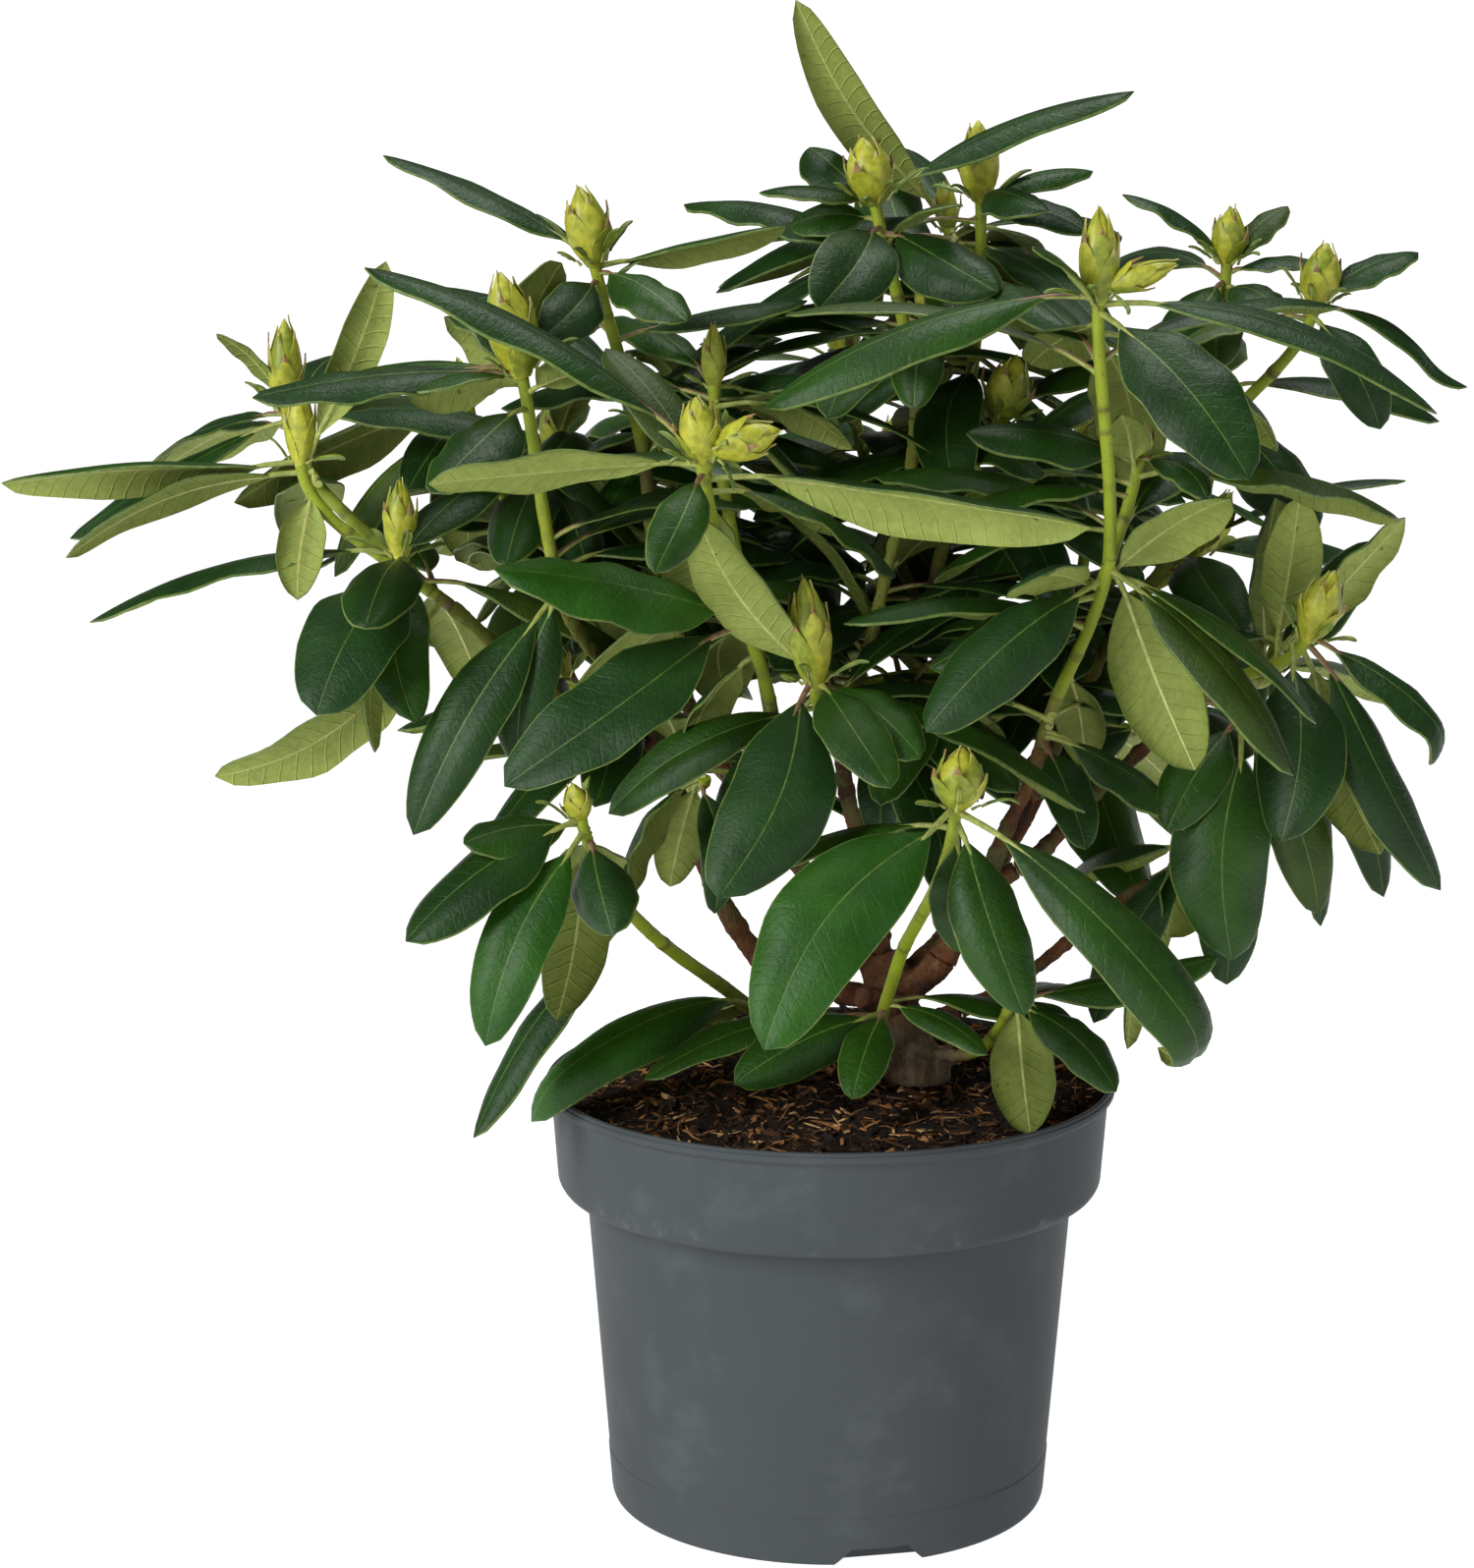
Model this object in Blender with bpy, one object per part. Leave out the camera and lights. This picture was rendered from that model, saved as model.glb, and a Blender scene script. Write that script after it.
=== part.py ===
"""A rhododendron in its nursery pot, at life size in metres, +Z up and -Y to the front.

The origin is the middle of the pot's flat underside. The plant is a short trunk that forks just above the
growing medium, woody boughs that taper away from it, and masses of foliage. A mass is the green shoots of
the last years on one bough's tip, with their leaves and winter buds fused on.
"""
import math
import random

import bmesh
import bpy
from mathutils import Matrix, Quaternion, Vector
from mathutils.bvhtree import BVHTree

MM = 0.001
GAP = 0.3 * MM            # clear space between pieces that touch on the real plant
UP = Vector((0, 0, 1))

# The pot, a five litre container.
POT_SIDES = 32
POT_HEIGHT = 0.174
RIM_RADIUS = 0.115
BASE_RADIUS = 0.0882
BODY_SLOPE = 0.0795       # how fast the body widens on its way up
COLLAR_FOOT = 0.1307      # height where the wide collar starts
COLLAR_RADIUS = 0.1098
COLLAR_TOP_RADIUS = 0.1124
WALL = 0.0015
FLOOR = 0.0030
SEAM_HEIGHT = 0.0195
NOTCHES = 3
NOTCH_AZIMUTH = 12        # degrees to the right of the front, for the notch that shows
NOTCH_WIDTH = 0.036
NOTCH_HEIGHT = 0.0068
NOTCH_BACK = 0.0792       # radius that the notches reach in to
LEDGE = 0.0086            # height of the thick ring inside the foot, over the notches
LEDGE_RADIUS = 0.0774
CHANNEL = (0.052, 0.073)  # the shallow drain channel under the floor
CHANNEL_DEPTH = 0.0012

# The growing medium, mounded and a little higher at the back.
MEDIUM_HEIGHT = 0.169
MEDIUM_SLOPE = 0.05
MEDIUM_MOUND = 0.006

# Leaves and shoots.
LEAF_THICKNESS = 1.4 * MM
PETIOLE_RADIUS = 1.0 * MM
PETIOLE_SHARE = 0.15      # part of a leaf's length that is stalk
LEAF_WIDTH_SHARE = 0.27
ARCH = 24                 # degrees that a leaf's stalk rises above its chord, and its tip falls below
NEAR_STATIONS = [0, PETIOLE_SHARE, 0.42, 0.74]      # where a leaf that shows has its cross-sections
FAR_STATIONS = [0, PETIOLE_SHARE, 0.55]
CURLED_STATIONS = NEAR_STATIONS + [0.84, 0.92]
SHOOT_RADIUS = 2.4 * MM
TEST_SWELL = 0.9 * MM     # a leaf is tested as it is and this much fatter
GOLDEN_ANGLE = 137.5
WHORL = 7                 # leaves round a full shoot
LEAF_SPACING = 2.6 * MM   # from one leaf's root up to the next
BRACT_WIDTH = 10          # in millimetres: a narrower leaf is a bract, which fills no place in a whorl
NEAR_SIDE = 0.02          # shoots in front of this are seen whole, and get no more leaves to the front
BOUGH_TAPER = 0.74
ARM_REACH = 2.8           # length of a fork's stub, in radii
PATH_STEP = 32 * MM       # from one bend of a limb to the next
LIMB_SIDES = 5
STEM_SIDES = 4
FLAT_ANGLE = 0.5          # degrees: faces that meet flatter than this are joined
TRIES = 14
SEED = 71


def clear_scene():
    for item in list(bpy.data.objects):
        bpy.data.objects.remove(item, do_unlink=True)


def material(name, colour, roughness):
    made = bpy.data.materials.new(name)
    made.use_nodes = True
    shader = made.node_tree.nodes["Principled BSDF"]
    shader.inputs["Base Color"].default_value = (*colour, 1)
    shader.inputs["Roughness"].default_value = roughness
    shader.inputs["Metallic"].default_value = 0
    made.diffuse_color = (*colour, 1)
    return made


def mesh_object(name, mesh, look, smooth=True):
    made = bpy.data.objects.new(name, mesh)
    bpy.context.scene.collection.objects.link(made)
    if smooth:
        mesh.shade_smooth()
        mesh.set_sharp_from_angle(angle=math.radians(40))
    if look:
        mesh.materials.append(look)
    return made


def finish(bm, name):
    bmesh.ops.recalc_face_normals(bm, faces=bm.faces)
    mesh = bpy.data.meshes.new(name)
    bm.to_mesh(mesh)
    bm.free()
    return mesh


def millimetres(*values):
    return Vector(values) * MM


# The pot and what fills it.

def turned(name, profile):
    """A closed solid turned about the Z axis from (radius, height) points that start and end on the axis."""
    bm = bmesh.new()
    line = [bm.verts.new((radius, 0, height)) for radius, height in profile]
    edges = [bm.edges.new(pair) for pair in zip(line, line[1:])]
    bmesh.ops.spin(bm, geom=line + edges, cent=(0, 0, 0), axis=(0, 0, 1), angle=math.tau,
                   steps=POT_SIDES, use_merge=True)
    bmesh.ops.remove_doubles(bm, verts=bm.verts, dist=0.01 * MM)
    return finish(bm, name)


def body_radius(height):
    return BASE_RADIUS + BODY_SLOPE * height


def pot_profile():
    under = COLLAR_FOOT
    outer = [
        (0, 0), (CHANNEL[0], 0), (CHANNEL[0] + 0.002, CHANNEL_DEPTH), (CHANNEL[1] - 0.002, CHANNEL_DEPTH),
        (CHANNEL[1], 0),
        (BASE_RADIUS - 0.0008, 0), (body_radius(0.002) + 0.0003, 0.002),
        (body_radius(SEAM_HEIGHT) + 0.0003, SEAM_HEIGHT), (body_radius(SEAM_HEIGHT), SEAM_HEIGHT + 0.0006),
        (body_radius(under), under), (COLLAR_RADIUS - 0.0010, under + 0.0010),
        (COLLAR_RADIUS, under + 0.0035), (COLLAR_TOP_RADIUS, 0.168), (RIM_RADIUS - 0.0006, 0.1690),
        (RIM_RADIUS, 0.1712), (RIM_RADIUS - 0.0005, 0.1733), (RIM_RADIUS - 0.0017, POT_HEIGHT),
    ]
    inner = [
        (RIM_RADIUS - 0.0030, 0.1728), (COLLAR_TOP_RADIUS - WALL, 0.1670),
        (COLLAR_RADIUS - WALL - 0.0006, under + 0.0040), (body_radius(under) - WALL, under - 0.0020),
        (body_radius(LEDGE) - WALL, LEDGE), (LEDGE_RADIUS, LEDGE), (LEDGE_RADIUS - 0.002, FLOOR), (0, FLOOR),
    ]
    return outer + inner


def make_notch(index):
    """The cutter of one recess in the foot: a bar with sloping ends, wider below."""
    bm = bmesh.new()
    bmesh.ops.create_cube(bm, size=1)
    for vert in bm.verts:
        top = vert.co.z > 0
        half = NOTCH_WIDTH / 2 - (NOTCH_HEIGHT if top else -NOTCH_HEIGHT)
        vert.co.x = math.copysign(half, vert.co.x)
        vert.co.y = -NOTCH_BACK if vert.co.y > 0 else -BASE_RADIUS - 0.01
        vert.co.z = NOTCH_HEIGHT if top else -NOTCH_HEIGHT
    turn = NOTCH_AZIMUTH + index * 360 / NOTCHES
    bmesh.ops.rotate(bm, verts=bm.verts, cent=(0, 0, 0), matrix=Matrix.Rotation(math.radians(turn), 3, "Z"))
    cutter = mesh_object(f"notch_cutter_{index}", finish(bm, "notch"), None, smooth=False)
    cutter.hide_render = True
    cutter.display_type = "WIRE"
    return cutter


def make_pot(look):
    pot = mesh_object("pot", turned("pot", pot_profile()), look)
    for index in range(NOTCHES):
        cut = pot.modifiers.new(f"notch_{index}", "BOOLEAN")
        cut.operation = "DIFFERENCE"
        cut.solver = "EXACT"
        cut.object = make_notch(index)


def medium_height(x, y):
    radius = math.hypot(x, y) / COLLAR_RADIUS
    return MEDIUM_HEIGHT + MEDIUM_SLOPE * y + MEDIUM_MOUND * (1 - radius ** 2)


def make_medium(look):
    under = COLLAR_FOOT
    clear = WALL + 0.5 * MM
    rings = [0, 0.035, 0.075, COLLAR_TOP_RADIUS - clear - 0.5 * MM]
    side = [
        (COLLAR_RADIUS - clear - 0.0006, under + 0.0044), (body_radius(under) - clear, under - 0.0018),
        (body_radius(LEDGE) - clear, LEDGE + 2 * GAP), (LEDGE_RADIUS - 2 * GAP, LEDGE + 2 * GAP),
        (LEDGE_RADIUS - 0.002 - 2 * GAP, FLOOR + GAP), (0, FLOOR + GAP),
    ]
    mesh = turned("growing_medium", [(radius, 0.1665) for radius in rings] + side)
    for vert in mesh.vertices:
        if vert.co.z > 0.166:
            vert.co.z = medium_height(vert.co.x, vert.co.y)
    return mesh_object("growing_medium", mesh, look)


# Limbs.

def smooth_path(points, first, last, step=PATH_STEP):
    """Points along a smooth line through the given ones, leaving along first and arriving along last."""
    count = len(points)
    tangents = []
    for index in range(count):
        before = points[max(index - 1, 0)]
        after = points[min(index + 1, count - 1)]
        tangents.append((after - before) / 2)
    tangents[0] = first.normalized() * (points[1] - points[0]).length
    tangents[-1] = last.normalized() * (points[-1] - points[-2]).length
    path = [points[0].copy()]
    for index in range(count - 1):
        start, end = points[index], points[index + 1]
        steps = max(2, round((end - start).length / step))
        for number in range(1, steps + 1):
            t = number / steps
            path.append(start * (2 * t ** 3 - 3 * t ** 2 + 1) + tangents[index] * (t ** 3 - 2 * t ** 2 + t)
                        + end * (3 * t ** 2 - 2 * t ** 3) + tangents[index + 1] * (t ** 3 - t ** 2))
    return path


def along(path, share):
    """The place and direction at a share of a path's length."""
    lengths = [(b - a).length for a, b in zip(path, path[1:])]
    left = share * sum(lengths)
    for index, length in enumerate(lengths):
        if left <= length or index == len(lengths) - 1:
            direction = (path[index + 1] - path[index]).normalized()
            return path[index] + direction * min(left, length), direction
        left -= length


def between(values, share):
    """The value at a share of the way along a list of evenly spaced ones."""
    place = share * (len(values) - 1)
    index = min(int(place), len(values) - 2)
    return values[index] + (values[index + 1] - values[index]) * (place - index)


def tube_mesh(name, path, radii, sides, first=None, last=None):
    """A tapering limb with flat ends square to its first and last direction."""
    bm = bmesh.new()
    frame = None
    rings = []
    for index, point in enumerate(path):
        if index == 0:
            direction = first or (path[1] - path[0])
        elif index == len(path) - 1:
            direction = last or (path[-1] - path[-2])
        else:
            direction = path[index + 1] - path[index - 1]
        direction = direction.normalized()
        if frame is None:
            frame = direction.orthogonal().normalized()
        frame = (frame - direction * frame.dot(direction)).normalized()
        other = direction.cross(frame)
        radius = between(radii, index / (len(path) - 1))
        ring = []
        for side in range(sides):
            turn = math.tau * side / sides
            ring.append(bm.verts.new(point + (frame * math.cos(turn) + other * math.sin(turn)) * radius))
        rings.append(ring)
    for low, high in zip(rings, rings[1:]):
        for side in range(sides):
            after = (side + 1) % sides
            bm.faces.new((low[side], low[after], high[after], high[side]))
    bm.faces.new(rings[0])
    bm.faces.new(rings[-1])
    bmesh.ops.triangulate(bm, faces=bm.faces)
    return finish(bm, name)


def bud_mesh(name, foot, direction, length, width):
    """A pointed egg of tight scales."""
    outline = [(-0.10, 0.45), (0.30, 1.0), (0.72, 0.66)]
    sides = 5
    axis = direction.normalized()
    frame = axis.orthogonal().normalized()
    other = axis.cross(frame)
    bm = bmesh.new()
    rings = []
    for height, girth in outline:
        centre = foot + axis * height * length
        rings.append([bm.verts.new(centre + (frame * math.cos(math.tau * side / sides)
                                             + other * math.sin(math.tau * side / sides)) * girth * width / 2)
                      for side in range(sides)])
    top = bm.verts.new(foot + axis * length)
    for low, high in zip(rings, rings[1:]):
        for side in range(sides):
            after = (side + 1) % sides
            bm.faces.new((low[side], low[after], high[after], high[side]))
    for side in range(sides):
        bm.faces.new((rings[-1][side], rings[-1][(side + 1) % sides], top))
    bm.faces.new(rings[0])
    bmesh.ops.triangulate(bm, faces=bm.faces)
    return finish(bm, name)


# A leaf is known by its root, its tip, the way its upper face looks, its width, arch and curl.

class Leaf:
    def __init__(self, root, tip, face, width, stations, arch=ARCH, curl=0):
        self.stations = stations
        self.root = root
        self.tip = tip
        self.face = face
        self.width = width
        self.arch = arch
        self.curl = curl

    def heading(self, share):
        """Degrees above the chord at a share of the leaf's length."""
        end = max(0, (share - 0.72) / 0.28)
        return self.arch * (1 - 2 * share) - self.curl * end

    def spine(self, shares):
        """For each share of the length: the place on the midrib, its direction, and the upper face's."""
        chord = self.tip - self.root
        ahead = chord.normalized()
        above = (self.face - ahead * self.face.dot(ahead)).normalized()
        steps = 40
        flat = [Vector((0, 0))]
        for number in range(steps):
            angle = math.radians(self.heading((number + 0.5) / steps))
            flat.append(flat[-1] + Vector((math.cos(angle), math.sin(angle))) / steps)
        end = flat[-1]
        reach = chord.length / end.length
        tilt = math.atan2(end.y, end.x)
        result = []
        for share in shares:
            number = min(int(share * steps), steps - 1)
            part = flat[number].lerp(flat[number + 1], share * steps - number)
            along_chord = (part.x * math.cos(tilt) + part.y * math.sin(tilt)) * reach
            over_chord = (part.y * math.cos(tilt) - part.x * math.sin(tilt)) * reach
            angle = math.radians(self.heading(share)) - tilt
            direction = ahead * math.cos(angle) + above * math.sin(angle)
            normal = above * math.cos(angle) - ahead * math.sin(angle)
            result.append((self.root + ahead * along_chord + above * over_chord, direction, normal))
        return result


def blade_share(share):
    """A leaf's width at a share of its whole length, as a share of its greatest width."""
    blade = (share - PETIOLE_SHARE) / (1 - PETIOLE_SHARE)
    if blade <= 0:
        return 0
    return min(1, 1.08 * math.sin(math.pi * blade ** 0.85) ** 0.62)


def leaf_mesh(leaf, swell=0, start=0):
    """A thin three-sided solid: two edges and a crest, from the stalk's root to a point."""
    shares = [share for share in leaf.stations if share >= start]
    bm = bmesh.new()
    rings = []
    for share, (point, direction, normal) in zip(shares, leaf.spine(shares)):
        side = direction.cross(normal)
        half = max(PETIOLE_RADIUS, leaf.width / 2 * blade_share(share)) + swell
        crest = (PETIOLE_RADIUS if share <= PETIOLE_SHARE else LEAF_THICKNESS * 0.5) + swell
        under = LEAF_THICKNESS * 0.6 + swell
        rings.append([bm.verts.new(point - side * half - normal * under), bm.verts.new(point + normal * crest),
                      bm.verts.new(point + side * half - normal * under)])
    (point, direction, normal), = leaf.spine([1])
    end = bm.verts.new(point + direction * swell)
    for low, high in zip(rings, rings[1:]):
        for number in range(3):
            after = (number + 1) % 3
            bm.faces.new((low[number], low[after], high[after], high[number]))
    for number in range(3):
        bm.faces.new((rings[-1][number], rings[-1][(number + 1) % 3], end))
    bm.faces.new(rings[0])
    bmesh.ops.triangulate(bm, faces=bm.faces)
    return finish(bm, "leaf")


# The space that is taken: one entry for each limb, bud and leaf, so that no two grow through each other.

class Space:
    def __init__(self):
        self.entries = []

    @staticmethod
    def entry(node, mesh):
        places = [vert.co.copy() for vert in mesh.vertices]
        low = Vector([min(place[axis] for place in places) for axis in range(3)])
        high = Vector([max(place[axis] for place in places) for axis in range(3)])
        tree = BVHTree.FromPolygons(places, [tuple(face.vertices) for face in mesh.polygons])
        return node, low, high, tree

    def add(self, node, mesh, own_mesh=None):
        """own_mesh stands in for the piece when it is tested against its own node."""
        self.entries.append((self.entry(node, mesh), self.entry(node, own_mesh or mesh)))

    def is_free(self, node, mesh, own_mesh):
        whole = self.entry(node, mesh)
        outer = self.entry(node, own_mesh)
        for full, own in self.entries:
            taken, candidate = (own, outer) if full[0] == node else (full, whole)
            apart = any(taken[1][axis] > candidate[2][axis] or taken[2][axis] < candidate[1][axis]
                        for axis in range(3))
            if not apart and taken[3].overlap(candidate[3]):
                return False
        return True


# The plan of the plant. Places and lengths are in millimetres, measured from the photograph and, for the
# far side, chosen to fill the crown as evenly as the near side.

class Arm:
    """A short stub at a fork, which a bough or a mass grows on from."""
    def __init__(self, name, start, tip, heading, radius):
        self.name = name
        self.start = start
        self.tip = tip
        self.heading = heading
        self.radius = radius


class Bough:
    """A woody limb from an arm to its own fork. Its arms point along their headings."""
    def __init__(self, name, on, tip, lean, arms, via=()):
        self.name = name
        self.on = on
        self.tip = tip
        self.lean = lean
        self.arms = arms
        self.via = via


class Shoot:
    """A green shoot, from its mass's foot or from a share of another shoot, to the foot of its bud.

    A leaf is (right, up, near, face, width[, arch[, curl]]). The first three lead from the shoot's tip to
    the leaf's tip. Face is how far the upper side turns away from the front: -1 shows it, +1 shows the
    underside. A shoot without a tip is only a whorl of leaves on the shoot that carries it.
    """
    def __init__(self, name, on=None, at=0.0, tip=None, lean=(0, 0, 1), bud=None, via=(), leaves=(),
                 full=WHORL):
        self.name = name
        self.on = on
        self.at = at
        self.tip = tip
        self.lean = lean
        self.bud = bud
        self.via = via
        self.leaves = leaves
        self.full = full


TRUNK_LINE = [(35, -11, 175.0), (32, -7, 187), (26, 3, 204), (20, 11, 222)]
TRUNK_RADII = [13.5, 11.5, 10.5, 9.0]

TRUNK_ARMS = [
    Arm("left", (24, 5, 203), (-12, 22, 208), (-1, 0.1, 0.35), 5.5),
    Arm("low_left", (26, 0, 193), (-4, 1, 194), (-1, -0.05, 0.15), 3.4),
    Arm("front_left", (21, 9, 215), (2, 0, 233), (-0.5, -0.3, 1), 4.4),
    Arm("middle", (20, 11, 220), (17, 5, 245), (-0.2, -0.2, 1), 4.6),
    Arm("right", (25, 4, 204), (45, 0, 222), (0.6, 0.0, 1), 6.4),
    Arm("right_low", (28, -2, 192), (52, -8, 203), (1, -0.1, 0.35), 3.6),
    Arm("back_left", (20, 11, 214), (2, 34, 232), (-0.5, 0.8, 0.8), 5.0),
    Arm("back_middle", (20, 11, 220), (20, 34, 246), (0.0, 0.6, 1), 5.0),
    Arm("back_right", (23, 7, 208), (46, 28, 222), (0.8, 0.8, 0.8), 5.0),
    Arm("foot_right", (29, -4, 187), (50, -24, 188), (0.9, -0.8, 0.2), 2.6),
]

# The young shoot at the front comes out of the growing medium by itself.
FRONT_FOOT = (16, -14, 174.1)
FRONT_HEADING = (0.1, -0.1, 1)

BOUGHS = [
    Bough("bough_left", "left", (-68, 12, 306), (-0.35, -0.1, 1),
          {"far_left": (-1, -0.15, 0.4), "left_high": (-0.3, -0.7, 1), "left_back": (-0.4, 0.8, 0.8),
           "left_low": (0.7, -1, -0.1)},
          via=[(-39, 25, 232)]),
    Bough("bough_far_left", "far_left", (-148, -30, 369), (-0.9, -0.25, 0.8), {"far_left_tip": None}),
    Bough("bough_left_high", "left_high", (-103, -46, 372), (-0.3, -0.4, 1), {"left_high_tip": None}),
    Bough("bough_front_left", "front_left", (-24, -30, 304), (-0.2, -0.45, 1),
          {"front_left_tip": (0.1, -0.9, 0.9), "left_top": (-0.8, 0.1, 0.9)}),
    Bough("bough_left_top", "left_top", (-72, 2, 405), (-0.05, 0, 1), {"left_top_tip": None},
          via=[(-55, -20, 345)]),
    Bough("bough_middle", "middle", (3, -30, 322), (0, -0.4, 1),
          {"front_middle": (-0.3, -1, 0.6), "middle_high": (0.4, 0.1, 1), "middle_back": (0.2, 1, 0.3)}),
    Bough("bough_middle_high", "middle_high", (32, -12, 440), (0.0, 0.1, 1), {"middle_top": None},
          via=[(20, -30, 380)]),
    Bough("bough_right", "right", (63, 0, 252), (0.4, 0, 1),
          {"right_front": (0.2, -0.6, 1), "right_side": (1, -0.1, 0.6), "right_back": (0.5, 0.75, 0.9)}),
    Bough("bough_right_front", "right_front", (81, -30, 314), (0.2, -0.3, 1), {"front_right": None}),
    Bough("bough_right_side", "right_side", (146, -8, 330), (0.7, -0.2, 0.7), {"right_tip": None},
          via=[(108, 8, 290)]),
    Bough("bough_right_back", "right_back", (152, 34, 415), (0.1, 0, 1), {"right_high": None},
          via=[(112, 42, 340)]),
    Bough("bough_right_low", "right_low", (128, -4, 254), (1, 0.1, 0.5), {"right_low_tip": None}),
    Bough("bough_back_left", "back_left", (-58, 88, 312), (-0.4, 0.3, 1),
          {"back_left_tip": (-0.2, 0.5, 1), "back_low_left": (-1, 0.5, 0.3)}),
    Bough("bough_back_middle", "back_middle", (40, 60, 350), (0.1, 0.1, 1),
          {"top": (0.2, -0.3, 1), "back_middle_tip": (-0.35, 0.9, 0.8)}),
    Bough("bough_back_right", "back_right", (100, 84, 300), (0.4, 0.3, 1),
          {"back_right_tip": (0.1, 0.5, 1), "back_low_right": (0.9, 0.6, 0.25)}),
]

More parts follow.
